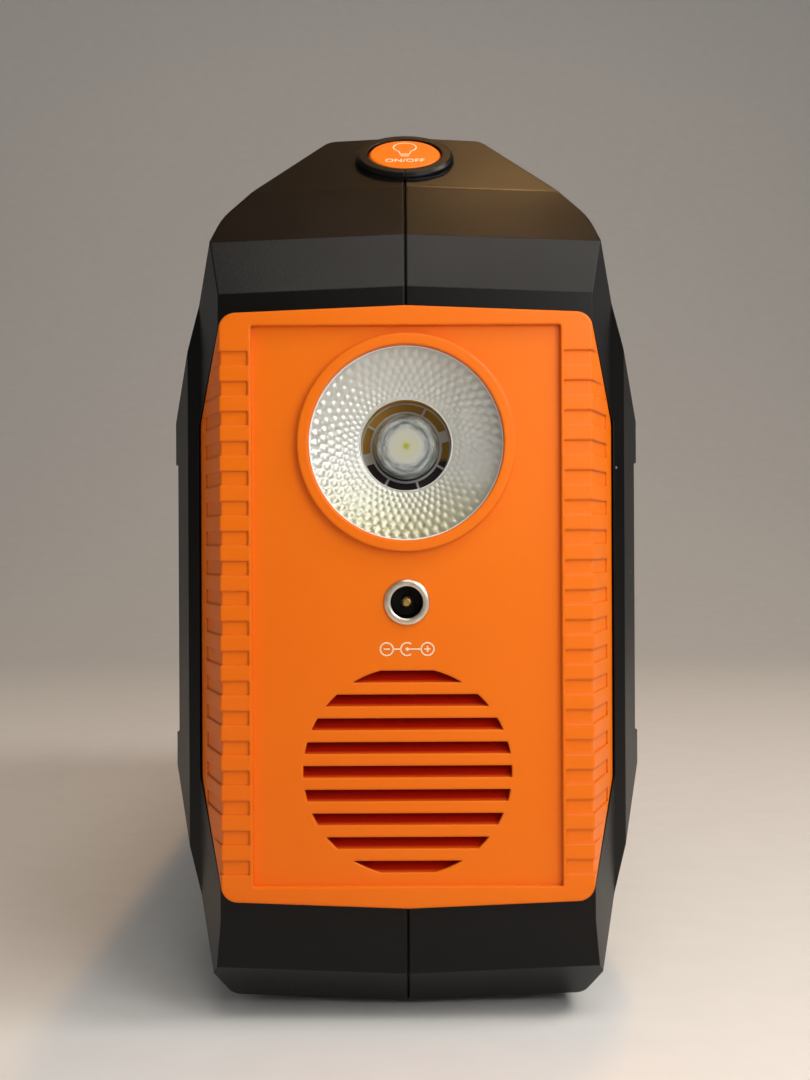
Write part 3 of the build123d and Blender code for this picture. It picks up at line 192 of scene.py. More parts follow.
world = bpy.data.worlds.new("studio_air")
world.use_nodes = True
bpy.context.scene.world = world
tree = world.node_tree
tree.nodes.clear()
# Eye, gloss and glass see the same room: grey walls under a warm brown ceiling.
# Matt faces get an even dim light from it.
even_light = 0.16
path = add(tree, "ShaderNodeLightPath")
heading = add(tree, "ShaderNodeTexCoord").outputs["Generated"]
climb = add(tree, "ShaderNodeSeparateXYZ", {0: heading}).outputs["Z"]
room = add(tree, "ShaderNodeValToRGB", {"Fac": climb})
ramp = room.color_ramp
ramp.elements[0].position, ramp.elements[0].color = 0.0, colour("#545351")
ramp.elements[1].position, ramp.elements[1].color = 1.0, colour("#96621A")
for position, hue in ((0.5, "#403F3D"), (0.8, "#2E281E"), (0.93, "#7A521C")):
    ramp.elements.new(position).color = colour(hue)
eye_or_gloss = add(tree, "ShaderNodeMath", {0: path.outputs["Is Camera Ray"],
                                            1: path.outputs["Is Glossy Ray"]}, operation="MAXIMUM")
seen = add(tree, "ShaderNodeMath", {0: eye_or_gloss.outputs[0], 1: path.outputs["Is Transmission Ray"]},
           operation="MAXIMUM")
dim = add(tree, "ShaderNodeBackground", {"Color": colour("#FFFFFF"), "Strength": even_light})
walls = add(tree, "ShaderNodeBackground", {"Color": room.outputs["Color"], "Strength": 1.0})
air = add(tree, "ShaderNodeMixShader", {0: seen.outputs[0], 1: dim.outputs[0], 2: walls.outputs[0]})
add(tree, "ShaderNodeOutputWorld", {"Surface": air.outputs[0]})


# ---------------------------------------------------------------- housing shells
# Two halves injection moulded in black ABS and joined down the middle.
# The tool was spark eroded, so the skin has a fine even grain and a satin sheen.
crease_angle = radians(10.5)      # a sharper edge than this stays a crease
join_reach, sliver_reach = 0.002 * MM, 0.001 * MM


def moulded_copy(node, name, material, reshape=None):
    """Copy of a CAD node with its triangles joined, its form eased and its curved faces smooth."""
    source = frame["nodes"][node]
    mesh = source.data.copy()
    mesh.name = name
    bm = bmesh.new()
    bm.from_mesh(mesh)
    bmesh.ops.remove_doubles(bm, verts=bm.verts, dist=join_reach)
    if reshape:
        reshape(bm)
        bmesh.ops.remove_doubles(bm, verts=bm.verts, dist=join_reach)
    bmesh.ops.dissolve_degenerate(bm, dist=sliver_reach, edges=bm.edges)
    for face in bm.faces:
        face.smooth = True
    for edge in bm.edges:
        edge.smooth = len(edge.link_faces) == 2 and edge.calc_face_angle(0) < crease_angle
    bm.to_mesh(mesh)
    bm.free()
    piece = bpy.data.objects.new(name, mesh)
    bpy.context.scene.collection.objects.link(piece)
    mesh.materials.clear()
    mesh.materials.append(material)
    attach(piece, source["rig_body"])
    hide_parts(node)
    return piece


def rounded_normal(tree, radius, height=None, strength=0.0, distance=0.0):
    """Normal with softened edges of a radius, and a bump on it if a height is given."""
    edge = add(tree, "ShaderNodeBevel", {"Radius": radius}, samples=6)
    if height is None:
        return edge.outputs[0]
    bump = add(tree, "ShaderNodeBump", {"Strength": strength, "Distance": distance, "Height": height,
                                        "Normal": edge.outputs[0]})
    return bump.outputs[0]


grain = 0.45 * MM          # pit to pit of the eroded skin, drawn a little coarse so that it shows
hand_wipe = 45.455 * MM    # patches that hands have polished
dust_apart, dust_small, dust_large = 10.5263 * MM, 0.18947 * MM, 0.29474 * MM
shell_corner = 0.45 * MM
black_abs, tree = new_material("black_abs_spark_eroded")
where = add(tree, "ShaderNodeTexCoord").outputs["Object"]
pits = add(tree, "ShaderNodeTexNoise", {"Vector": where, "Scale": 1 / grain, "Detail": 3.0,
                                        "Roughness": 0.65})
handling = add(tree, "ShaderNodeTexNoise", {"Vector": where, "Scale": 1 / hand_wipe, "Detail": 5.0,
                                            "Roughness": 0.6})
hue = add(tree, "ShaderNodeMix", {"Factor": handling.outputs["Fac"], 6: colour("#090909"),
                                  7: colour("#100F0F")}, data_type="RGBA")
dust_seed = add(tree, "ShaderNodeTexVoronoi", {"Vector": where, "Scale": 1 / dust_apart,
                                               "Randomness": 1.0})
dust = add(tree, "ShaderNodeMapRange", {"Value": dust_seed.outputs["Distance"],
                                        "From Min": dust_small / dust_apart,
                                        "From Max": dust_large / dust_apart, "To Min": 0.75, "To Max": 0.0})
speckled = add(tree, "ShaderNodeMix", {"Factor": dust.outputs[0], 6: hue.outputs[2],
                                       7: colour("#8F8C86")}, data_type="RGBA")
sheen = add(tree, "ShaderNodeMapRange", {"Value": handling.outputs["Fac"], "From Min": 0.3, "From Max": 0.7,
                                         "To Min": 0.27, "To Max": 0.36})
normal = rounded_normal(tree, shell_corner, pits.outputs["Fac"], 0.35, 0.06 * MM)
bsdf = add(tree, "ShaderNodeBsdfPrincipled", {"Base Color": speckled.outputs[2],
                                              "Roughness": sheen.outputs[0], "Normal": normal,
                                              "Specular IOR Level": 0.18})
add(tree, "ShaderNodeOutputMaterial", {"Surface": bsdf.outputs[0]})

for side in ("left_shell", "right_shell"):
    moulded_copy(side, side + "_moulding", black_abs)


# ---------------------------------------------------------------- end caps
# Moulded in orange ABS, glossier than the housing and a little translucent.
# Corners get painted shade in a deeper orange, and the floors of the louvres painted shade in dark red.
louvre_axis = (0, 0, 51.1 * MM)
louvre_reach, louvre_edge = 21 * MM, 1.2 * MM
panel_y = front_y + 1.2 * MM
flow_streak = 71.43 * MM   # swirls of pigment as the plastic flowed
skin_grain = 1.1111 * MM   # the even skin, drawn coarse so that it shows
scuff_patch = 16.667 * MM
cap_corner, corner_shade = 0.7 * MM, 1.0 * MM
orange_abs, tree = new_material("orange_abs_moulded")
where = add(tree, "ShaderNodeTexCoord").outputs["Object"]
flow = add(tree, "ShaderNodeTexNoise", {"Vector": where, "Scale": 1 / flow_streak, "Detail": 3.0,
                                        "Roughness": 0.5})
body_hue = add(tree, "ShaderNodeMix", {"Factor": flow.outputs["Fac"], 6: colour("#EA6800"),
                                       7: colour("#F27A04")}, data_type="RGBA")
# Painted shade: within reach of the occlusion, corners and recesses go a deeper orange.
shade = add(tree, "ShaderNodeAmbientOcclusion", {"Distance": corner_shade}, samples=8)
corner = add(tree, "ShaderNodeMapRange", {"Value": shade.outputs["AO"], "From Min": 0.1, "From Max": 0.7})
painted_corner_shade = add(tree, "ShaderNodeMix", {"Factor": corner.outputs[0], 6: colour("#C23A00"),
                                       7: body_hue.outputs[2]}, data_type="RGBA")
# Painted shade: the sunk floors of the louvres round the grille go dark red.
place = add(tree, "ShaderNodeSeparateXYZ", {0: where})
from_axis = add(tree, "ShaderNodeVectorMath", {0: where, 1: louvre_axis}, operation="SUBTRACT")
flat = add(tree, "ShaderNodeVectorMath", {0: from_axis.outputs[0], 1: (1, 0, 1)}, operation="MULTIPLY")
reach = add(tree, "ShaderNodeVectorMath", {0: flat.outputs[0]}, operation="LENGTH")
near = add(tree, "ShaderNodeMath", {0: reach.outputs["Value"], 1: louvre_reach}, operation="LESS_THAN")
lamp_end = add(tree, "ShaderNodeMath", {0: place.outputs["Y"], 1: 0.0}, operation="LESS_THAN")
sunk = add(tree, "ShaderNodeMapRange", {"Value": place.outputs["Y"], "From Min": panel_y,
                                        "From Max": panel_y + louvre_edge})
in_grille = add(tree, "ShaderNodeMath", {0: near.outputs[0], 1: lamp_end.outputs[0]}, operation="MULTIPLY")
louvre_floor_painted_shade = add(tree, "ShaderNodeMath", {0: in_grille.outputs[0], 1: sunk.outputs[0]}, operation="MULTIPLY")
hue = add(tree, "ShaderNodeMix", {"Factor": louvre_floor_painted_shade.outputs[0], 6: painted_corner_shade.outputs[2], 7: colour("#B41A00")},
          data_type="RGBA")
skin = add(tree, "ShaderNodeTexNoise", {"Vector": where, "Scale": 1 / skin_grain, "Detail": 2.0})
normal = rounded_normal(tree, cap_corner, skin.outputs["Fac"], 0.12, 0.03 * MM)
scuff = add(tree, "ShaderNodeTexNoise", {"Vector": where, "Scale": 1 / scuff_patch, "Detail": 6.0,
                                         "Roughness": 0.7})
rough = add(tree, "ShaderNodeMapRange", {"Value": scuff.outputs["Fac"], "From Min": 0.3, "From Max": 0.75,
                                         "To Min": 0.33, "To Max": 0.46})
bsdf = add(tree, "ShaderNodeBsdfPrincipled", {"Base Color": hue.outputs[2], "Roughness": rough.outputs[0],
                                              "Normal": normal, "Subsurface Weight": 0.12,
                                              "Subsurface Radius": (1.0, 0.35, 0.1),
                                              "Subsurface Scale": 1.5 * MM, "Specular IOR Level": 0.25})
add(tree, "ShaderNodeOutputMaterial", {"Surface": bsdf.outputs[0]})

# The bars of the side strips stand barely proud, and die out at the edge of the cap.
cap_face_half, cap_strip_half, cap_strip_back = 36.4 * MM, 42.8 * MM, 16 * MM
bar_inner_half, bar_relief, bar_filled = 30.9 * MM, 0.6 * MM, 0.45
strip_out = Vector((cap_strip_back, cap_strip_half - cap_face_half)).normalized()
level_wall, slanted_wall = 0.02, 0.1     # parts of a wall's normal, along Y and along X and Z


def ease_bars(bm):
    """Raise the floors of the gaps between the bars, and close the gaps at the slanted edges."""
    reach = 0.02 * MM
    for vert in bm.verts:
        x, y = abs(vert.co.x), abs(vert.co.y)
        from_face = -front_y - y
        from_strip = (cap_face_half - x) * strip_out.x + from_face * strip_out.y
        if x < bar_inner_half - reach or abs(min(from_face, from_strip) - bar_relief) > reach:
            continue
        on_edge = any(abs(face.normal.y) < level_wall
                      and min(abs(face.normal.x), abs(face.normal.z)) > slanted_wall
                      for face in vert.link_faces)
        if on_edge:
            step = (0, from_strip / strip_out.y)
        elif abs(from_face - from_strip) < 2 * reach:
            step = ((cap_face_half - x) * bar_filled, from_face * bar_filled)
        elif from_face < from_strip:
            step = (0, bar_relief * bar_filled)
        else:
            step = strip_out * bar_relief * bar_filled
        vert.co.x += step[0] * (1 if vert.co.x > 0 else -1)
        vert.co.y += step[1] * (1 if vert.co.y > 0 else -1)


for end in ("front_cap", "rear_cap"):
    moulded_copy(end, end + "_moulding", orange_abs, reshape=ease_bars)


# ---------------------------------------------------------------- lamp
# A metallised dish with rows of small pearl-shaped facets spreads the beam.
# In its neck a clear middle lens stands on thin spokes over one yellow diode.
dish_axis_z = 115.6 * MM
reflector_low, reflector_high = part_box("lamp_reflector")
dish_rim, dish_neck = 19.5 * MM, 9.25 * MM
dish_set_back = 0.15 * MM
dish_front = reflector_low.y + dish_set_back
dish_depth = 4.4 * MM                   # as deep as it looks through the clear front
dish_thick = 0.3 * MM
pearls_round = 57                       # facets in one row
pearl_rise = 0.22                       # height of a facet, as a share of its own width
pearl_reach = 0.34                      # square of half a facet's width, where its dome meets the next
pearl_turn = 2 * pi / pearls_round
turns_per_pearl, rings_per_row = 6, 6
row_step = sin(radians(60))             # from row to row, in facets' widths
row_growth = pearl_turn * row_step
pearl_rows = int(log(dish_rim / dish_neck) / row_growth)
plain_rim, plain_neck = 0.25 * MM, 0.4 * MM     # bands where the facets die out


def dish_y(radius):
    """Depth of the dish at a radius: a parabola from the rim to the neck."""
    share = (dish_rim ** 2 - radius ** 2) / (dish_rim ** 2 - dish_neck ** 2)
    return dish_front + dish_depth * share


def dish_slope(radius):
    """Slope of that parabola."""
    return -2 * radius * dish_depth / (dish_rim ** 2 - dish_neck ** 2)


def pearl_height(angle, radius):
    """Height of the domed facets over the dish, on rows that grow with the radius."""
    row = log(radius / dish_neck) / row_growth
    best = 1.0
    for near in (int(row) - 1, int(row), int(row) + 1, int(row) + 2):
        shift = 0.5 * (near % 2)
        across = angle / pearl_turn - shift
        across -= round(across)
        along = (row - near) * row_step
        best = min(best, across * across + along * along)
    return pearl_rise * radius * pearl_turn * (1 - best / pearl_reach)


def pearl_dish(bm):
    """Dish turned from its curve, with the facets raised on it, and a wall behind."""
    rings = pearl_rows * rings_per_row
    line = []
    for ring in range(rings + 1):
        radius = dish_neck * (dish_rim / dish_neck) ** (ring / rings)
        line.append(bm.verts.new((radius, dish_y(radius), dish_axis_z)))
    for first, second in zip(line, line[1:]):
        bm.edges.new((first, second))
    steps = pearls_round * turns_per_pearl
    bmesh.ops.spin(bm, geom=bm.verts[:] + bm.edges[:], cent=(0, 0, dish_axis_z), axis=(0, 1, 0),
                   angle=2 * pi, steps=steps, use_merge=True, use_duplicate=False)
    for vert in bm.verts:
        x, z = vert.co.x, vert.co.z - dish_axis_z
        radius = hypot(x, z)
        edge_share = min((dish_rim - radius) / plain_rim, (radius - dish_neck) / plain_neck, 1.0)
        slope = dish_slope(radius)
        rise = pearl_height(atan2(z, x), radius) * max(edge_share, 0.0)
        length = hypot(1.0, slope)
        vert.co.y -= rise / length
        pull = rise * slope / length / radius
        vert.co.x += x * pull
        vert.co.z += z * pull
    bmesh.ops.recalc_face_normals(bm, faces=bm.faces)
    if sum(face.normal.y for face in bm.faces) > 0:
        bmesh.ops.reverse_faces(bm, faces=bm.faces)
    bmesh.ops.solidify(bm, geom=bm.faces[:], thickness=dish_thick)
    for face in bm.faces:
        face.smooth = True


# Metallised behind clear plastic: soft white silver under a hard gloss. The valleys between the facets get
# painted shade, and the lower part a yellow painted reflection of the diode.
haze_patch = 6.25 * MM
valley_reach = 0.35 * MM
reflection_from, reflection_to = 4 * MM, 17 * MM    # below the lamp's axis
metallised, tree = new_material("aluminium_metallised_polycarbonate")
where = add(tree, "ShaderNodeTexCoord").outputs["Object"]
haze = add(tree, "ShaderNodeTexNoise", {"Vector": where, "Scale": 1 / haze_patch, "Detail": 3.0})
silver = add(tree, "ShaderNodeMix", {"Factor": haze.outputs["Fac"], 6: colour("#EEECE4"),
                                     7: colour("#FAF8F2")}, data_type="RGBA")
# Painted shade in the valleys between the facets.
valley = add(tree, "ShaderNodeAmbientOcclusion", {"Distance": valley_reach}, samples=8, only_local=True)
valley_shade_mask = add(tree, "ShaderNodeMapRange", {"Value": valley.outputs["AO"], "From Min": 0.3, "From Max": 0.85})
valley_painted_shade = add(tree, "ShaderNodeMix", {"Factor": valley_shade_mask.outputs[0], 6: colour("#8E8B80"), 7: silver.outputs[2]},
             data_type="RGBA")
split = add(tree, "ShaderNodeSeparateXYZ", {0: where})
# Painted reflection: the dish goes yellower low down, where it mirrors the diode.
diode_reflection_mask = add(tree, "ShaderNodeMapRange", {"Value": split.outputs["Z"],
                                            "From Min": dish_axis_z - reflection_from,
                                            "From Max": dish_axis_z - reflection_to, "To Max": 0.8})
tint = add(tree, "ShaderNodeMix", {"Factor": diode_reflection_mask.outputs[0], 6: colour("#FFFFFF"), 7: colour("#E6E2B4")},
           data_type="RGBA")
hue = add(tree, "ShaderNodeMix", {"Factor": 1.0, 6: valley_painted_shade.outputs[2], 7: tint.outputs[2]},
          data_type="RGBA", blend_type="MULTIPLY")
rough = add(tree, "ShaderNodeMapRange", {"Value": haze.outputs["Fac"], "To Min": 0.2, "To Max": 0.3})
bsdf = add(tree, "ShaderNodeBsdfPrincipled", {"Base Color": hue.outputs[2], "Roughness": rough.outputs[0],
                                              "Metallic": 0.2, "Coat Weight": 1.0, "Coat Roughness": 0.06})
add(tree, "ShaderNodeOutputMaterial", {"Surface": bsdf.outputs[0]})
moulded_copy("lamp_reflector", "reflector_back", metallised)
new_piece("reflector_pearls", pearl_dish, metallised, "pack")

# Clear front of polycarbonate from a polished tool: the dish shows through a few faint smears.
# Its index is low, because a thin flat disc hardly bends what is behind it.
smear_patch = 14.286 * MM
clear_lens, tree = new_material("clear_polycarbonate_polished")
where = add(tree, "ShaderNodeTexCoord").outputs["Object"]
smear = add(tree, "ShaderNodeTexNoise", {"Vector": where, "Scale": 1 / smear_patch, "Detail": 4.0})
rough = add(tree, "ShaderNodeMapRange", {"Value": smear.outputs["Fac"], "From Min": 0.4, "From Max": 0.8,
                                         "To Min": 0.0, "To Max": 0.06})
bsdf = add(tree, "ShaderNodeBsdfPrincipled", {"Base Color": colour("#F7FAFA"), "Roughness": rough.outputs[0],
                                              "Transmission Weight": 1.0, "IOR": 1.2})
add(tree, "ShaderNodeOutputMaterial", {"Surface": bsdf.outputs[0]})
moulded_copy("lamp_lens", "lamp_lens_disc", clear_lens)

# The middle lens, of clear acrylic, gathers what is behind it, and that view is painted on its opaque face: a
# yellow dot, a cream disc, then grey rings. Fine broken arcs run round it, as polished plastic turns show.
core_reach = 7 * MM
ring_streak, ring_sway = 3.8462 * MM, 0.5 * MM
arc_apart, arcs_per_radian = 0.6 * MM, 1.6
core_corner = 0.8 * MM
core_clear, tree = new_material("clear_acrylic_core_lens")
where = add(tree, "ShaderNodeTexCoord").outputs["Object"]
from_axis = add(tree, "ShaderNodeVectorMath", {0: where, 1: (0, 0, dish_axis_z)}, operation="SUBTRACT")
flat = add(tree, "ShaderNodeVectorMath", {0: from_axis.outputs[0], 1: (1, 0, 1)}, operation="MULTIPLY")
reach = add(tree, "ShaderNodeVectorMath", {0: flat.outputs[0]}, operation="LENGTH")
streaks = add(tree, "ShaderNodeTexNoise", {"Vector": where, "Scale": 1 / ring_streak, "Detail": 2.0})
sway = add(tree, "ShaderNodeMapRange", {"Value": streaks.outputs["Fac"], "To Min": -ring_sway,
                                        "To Max": ring_sway})
swayed = add(tree, "ShaderNodeMath", {0: reach.outputs["Value"], 1: sway.outputs[0]})
share = add(tree, "ShaderNodeMath", {0: swayed.outputs[0], 1: core_reach}, operation="DIVIDE")
# Painted view through the lens: the diode's yellow dot, its cream disc and grey rings.
rings = add(tree, "ShaderNodeValToRGB", {"Fac": share.outputs[0]})
ramp = rings.color_ramp
ramp.elements[0].position, ramp.elements[0].color = 0.04, colour("#DCD84A")
ramp.elements[1].position, ramp.elements[1].color = 1.0, colour("#C2C6C4")
for position, hue in ((0.14, "#F3F1D0"), (0.5, "#F1F0E6"), (0.58, "#E6E8E4"), (0.68, "#C6CBCA"),
                      (0.78, "#ECEEEC"), (0.88, "#BEC4C3")):
    ramp.elements.new(position).color = colour(hue)
sides = add(tree, "ShaderNodeSeparateXYZ", {0: from_axis.outputs[0]})
turn = add(tree, "ShaderNodeMath", {0: sides.outputs["Z"], 1: sides.outputs["X"]}, operation="ARCTAN2")
unrolled = add(tree, "ShaderNodeCombineXYZ", {"X": reach.outputs["Value"], "Y": turn.outputs[0]})
stretched = add(tree, "ShaderNodeVectorMath", {0: unrolled.outputs[0],
                                               1: (1 / arc_apart, arcs_per_radian, 1)},
                operation="MULTIPLY")
arcs = add(tree, "ShaderNodeTexNoise", {"Vector": stretched.outputs[0], "Scale": 1.0, "Detail": 3.0,
                                        "Roughness": 0.6})
outside = add(tree, "ShaderNodeMapRange", {"Value": share.outputs[0], "From Min": 0.45, "From Max": 0.62})
break_up = add(tree, "ShaderNodeMapRange", {"Value": arcs.outputs["Fac"], "From Min": 0.35, "From Max": 0.65})
streaked = add(tree, "ShaderNodeMix", {"Factor": break_up.outputs[0], 6: colour("#A2A8A8"),
                                       7: colour("#FFFFFF")}, data_type="RGBA")
veil = add(tree, "ShaderNodeMix", {"Factor": outside.outputs[0], 6: colour("#FFFFFF"),
                                   7: streaked.outputs[2]}, data_type="RGBA")
painted_view_through = add(tree, "ShaderNodeMix", {"Factor": 1.0, 6: rings.outputs["Color"], 7: veil.outputs[2]},
             data_type="RGBA", blend_type="MULTIPLY")
bsdf = add(tree, "ShaderNodeBsdfPrincipled", {"Base Color": painted_view_through.outputs[2], "Roughness": 0.12,
                                              "Coat Weight": 1.0, "Coat Roughness": 0.03,
                                              "Normal": rounded_normal(tree, core_corner)})
add(tree, "ShaderNodeOutputMaterial", {"Surface": bsdf.outputs[0]})
moulded_copy("lamp_core", "lamp_core_lens", core_clear)

# The spokes and the thin rings round the neck and the clear front, of the same acrylic, are so thin that they
# only show as bright glints: they are painted plain white, as painted glints.
spoke_flow = 3.3333 * MM
painted_glint_white, tree = new_material("acrylic_spokes_painted_glint")
where = add(tree, "ShaderNodeTexCoord").outputs["Object"]
flow = add(tree, "ShaderNodeTexNoise", {"Vector": where, "Scale": 1 / spoke_flow})
rough = add(tree, "ShaderNodeMapRange", {"Value": flow.outputs["Fac"], "To Min": 0.1, "To Max": 0.3})
bsdf = add(tree, "ShaderNodeBsdfPrincipled", {"Base Color": colour("#FFFFFF"), "Roughness": rough.outputs[0],
                                              "Coat Weight": 1.0, "Coat Roughness": 0.05})
add(tree, "ShaderNodeOutputMaterial", {"Surface": bsdf.outputs[0]})
moulded_copy("lamp_core_carrier", "lamp_core_spokes", painted_glint_white)

# The diode's board has an amber solder mask, and bare dark copper brown low down. The same colours on the
# neck of the dish are a painted reflection of the board.
board_weave = 2 * MM       # of the glass cloth, drawn coarse so that it shows
mask_low, mask_high = dish_axis_z - 3 * MM, dish_axis_z - 2 * MM
board_and_neck_reflection, tree = new_material("diode_board_solder_mask")
where = add(tree, "ShaderNodeTexCoord").outputs["Object"]
weave = add(tree, "ShaderNodeTexNoise", {"Vector": where, "Scale": 1 / board_weave})
split = add(tree, "ShaderNodeSeparateXYZ", {0: where})
height = add(tree, "ShaderNodeMapRange", {"Value": split.outputs["Z"], "From Min": mask_low,
                                          "From Max": mask_high})
hue = add(tree, "ShaderNodeMix", {"Factor": height.outputs[0], 6: colour("#3A1410"), 7: colour("#E0AC34")},
          data_type="RGBA")
rough = add(tree, "ShaderNodeMapRange", {"Value": weave.outputs["Fac"], "To Min": 0.35, "To Max": 0.55})
bsdf = add(tree, "ShaderNodeBsdfPrincipled", {"Base Color": hue.outputs[2], "Roughness": rough.outputs[0]})
add(tree, "ShaderNodeOutputMaterial", {"Surface": bsdf.outputs[0]})
moulded_copy("led_board", "board_and_neck_reflection", board_and_neck_reflection)


def finish_round(bm):
    """Turned piece: faces outwards and smooth."""
    bmesh.ops.recalc_face_normals(bm, faces=bm.faces)
    for face in bm.faces:
        face.smooth = True


def ring_maker(radius, tube, y):
    """Thin round ring about the lamp's axis."""
    def make(bm):
        bmesh.ops.create_circle(bm, cap_ends=False, radius=tube, segments=10,
                                matrix=Matrix.Translation((radius, y, dish_axis_z)))
        bmesh.ops.spin(bm, geom=bm.verts[:] + bm.edges[:], cent=(0, 0, dish_axis_z), axis=(0, 1, 0),
                       angle=2 * pi, steps=96, use_merge=True, use_duplicate=False)
        finish_round(bm)
    return make


def neck_wall(bm):
    """Tube from the neck of the dish back to the board."""
    ends = [bm.verts.new((dish_neck, y, dish_axis_z)) for y in (dish_front + dish_depth, reflector_high.y)]
    bm.edges.new(ends)
    bmesh.ops.spin(bm, geom=bm.verts[:] + bm.edges[:], cent=(0, 0, dish_axis_z), axis=(0, 1, 0),
                   angle=2 * pi, steps=96, use_merge=True, use_duplicate=False)
    bmesh.ops.solidify(bm, geom=bm.faces[:], thickness=dish_thick)
    finish_round(bm)


# The neck of the dish wears the board's colours as a painted reflection of the board behind it. Thin white
# rings are painted highlights round the neck and round the edge of the clear front.
# Painted reflection: the neck wall carries the board's colours.
new_piece("neck_wall", neck_wall, board_and_neck_reflection, "pack")
highlight_tube = 0.14 * MM
lens_radius = 19.2 * MM
lens_front_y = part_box("lamp_lens")[0].y
new_piece("neck_highlight_ring", ring_maker(dish_neck, highlight_tube, dish_front + dish_depth - highlight_tube),
          painted_glint_white, "pack")
new_piece("lens_edge_highlight_ring", ring_maker(lens_radius - highlight_tube, highlight_tube, lens_front_y - highlight_tube),
          painted_glint_white, "pack")

# Silicone filled with yellow phosphor, matt and gritty.
phosphor_grit = 0.4 * MM
phosphor, tree = new_material("diode_phosphor")
where = add(tree, "ShaderNodeTexCoord").outputs["Object"]
grit = add(tree, "ShaderNodeTexNoise", {"Vector": where, "Scale": 1 / phosphor_grit})
hue = add(tree, "ShaderNodeMix", {"Factor": grit.outputs["Fac"], 6: colour("#D8C520"), 7: colour("#F0E35A")},
          data_type="RGBA")
bsdf = add(tree, "ShaderNodeBsdfPrincipled", {"Base Color": hue.outputs[2], "Roughness": 0.5})
add(tree, "ShaderNodeOutputMaterial", {"Surface": bsdf.outputs[0]})
moulded_copy("led_emitter", "diode", phosphor)


# ---------------------------------------------------------------- charging socket
# A turned brass barrel, nickel plated, with a black insulating cup and a centre pin.
def metal(name, dark, light, rough_low, rough_high, mottle_size, edge=0.15 * MM):
    """Bare or plated metal: a fine mottle in its colour and polish, edges rounded a little."""
    material, tree = new_material(name)
    where = add(tree, "ShaderNodeTexCoord").outputs["Object"]
    mottle = add(tree, "ShaderNodeTexNoise", {"Vector": where, "Scale": 1 / mottle_size, "Detail": 4.0})
    hue = add(tree, "ShaderNodeMix", {"Factor": mottle.outputs["Fac"], 6: colour(dark), 7: colour(light)},
              data_type="RGBA")
    rough = add(tree, "ShaderNodeMapRange", {"Value": mottle.outputs["Fac"], "To Min": rough_low,
                                             "To Max": rough_high})
    normal = rounded_normal(tree, edge)
    bsdf = add(tree, "ShaderNodeBsdfPrincipled", {"Base Color": hue.outputs[2], "Roughness": rough.outputs[0],
                                                  "Metallic": 1.0, "Normal": normal})
    add(tree, "ShaderNodeOutputMaterial", {"Surface": bsdf.outputs[0]})
    return material


# Nickel on turned brass looks warm and bright, and its rim is rolled over.
# A flash of gold keeps the contacts yellow.
nickel = metal("nickel_plated_brass", "#D6CAB2", "#F2EBDC", 0.24, 0.36, 1.4286 * MM, 0.75 * MM)
gold_plate = metal("gold_flashed_brass", "#C9A055", "#E8CC84", 0.2, 0.35, 2 * MM)
for node, plating in (("dc_jack_sleeve", nickel), ("dc_jack_nut", nickel), ("usb_ports", nickel),
                      ("dc_jack_pin", gold_plate)):
    moulded_copy(node, node + "_plated", plating)

# Moulded nylon, matt and very dark, with a fine dry skin.
nylon_grain, nylon_corner = 0.90909 * MM, 0.2 * MM
black_nylon, tree = new_material("black_nylon_moulded")
where = add(tree, "ShaderNodeTexCoord").outputs["Object"]
skin = add(tree, "ShaderNodeTexNoise", {"Vector": where, "Scale": 1 / nylon_grain, "Detail": 3.0})
hue = add(tree, "ShaderNodeMix", {"Factor": skin.outputs["Fac"], 6: colour("#0B0B0B"), 7: colour("#151514")},
          data_type="RGBA")
rough = add(tree, "ShaderNodeMapRange", {"Value": skin.outputs["Fac"], "To Min": 0.4, "To Max": 0.6})
normal = rounded_normal(tree, nylon_corner, skin.outputs["Fac"], 0.15, 0.03 * MM)
bsdf = add(tree, "ShaderNodeBsdfPrincipled", {"Base Color": hue.outputs[2], "Roughness": rough.outputs[0],
                                              "Normal": normal})
add(tree, "ShaderNodeOutputMaterial", {"Surface": bsdf.outputs[0]})
for node in ("dc_jack_core", "light_switch", "display_module", "control_switches", "board_relay",
             "jump_socket", "usb_tongues"):
    moulded_copy(node, node + "_body", black_nylon)

jack_low, jack_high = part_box("dc_jack_sleeve")
jack_axis_z = (jack_low.z + jack_high.z) / 2
jack_depth = 10 * MM
collar_inner, collar_outer, collar_thick = 1.08 * MM, 3.1 * MM, 0.4 * MM


def pin_collar(bm):
    """Flat washer of the same nylon round the root of the pin, at the floor of the cup."""
    back = jack_low.y + jack_depth
    front = back - collar_thick
    rim = [bm.verts.new((radius, y, jack_axis_z)) for radius, y in
           ((collar_inner, front), (collar_outer, front), (collar_outer, back), (collar_inner, back))]
    for first, second in zip(rim, rim[1:] + rim[:1]):
        bm.edges.new((first, second))
    bmesh.ops.spin(bm, geom=bm.verts[:] + bm.edges[:], cent=(0, 0, jack_axis_z), axis=(0, 1, 0),
                   angle=2 * pi, steps=64, use_merge=True, use_duplicate=False)
    bmesh.ops.recalc_face_normals(bm, faces=bm.faces)


new_piece("pin_collar", pin_collar, black_nylon, "pack")


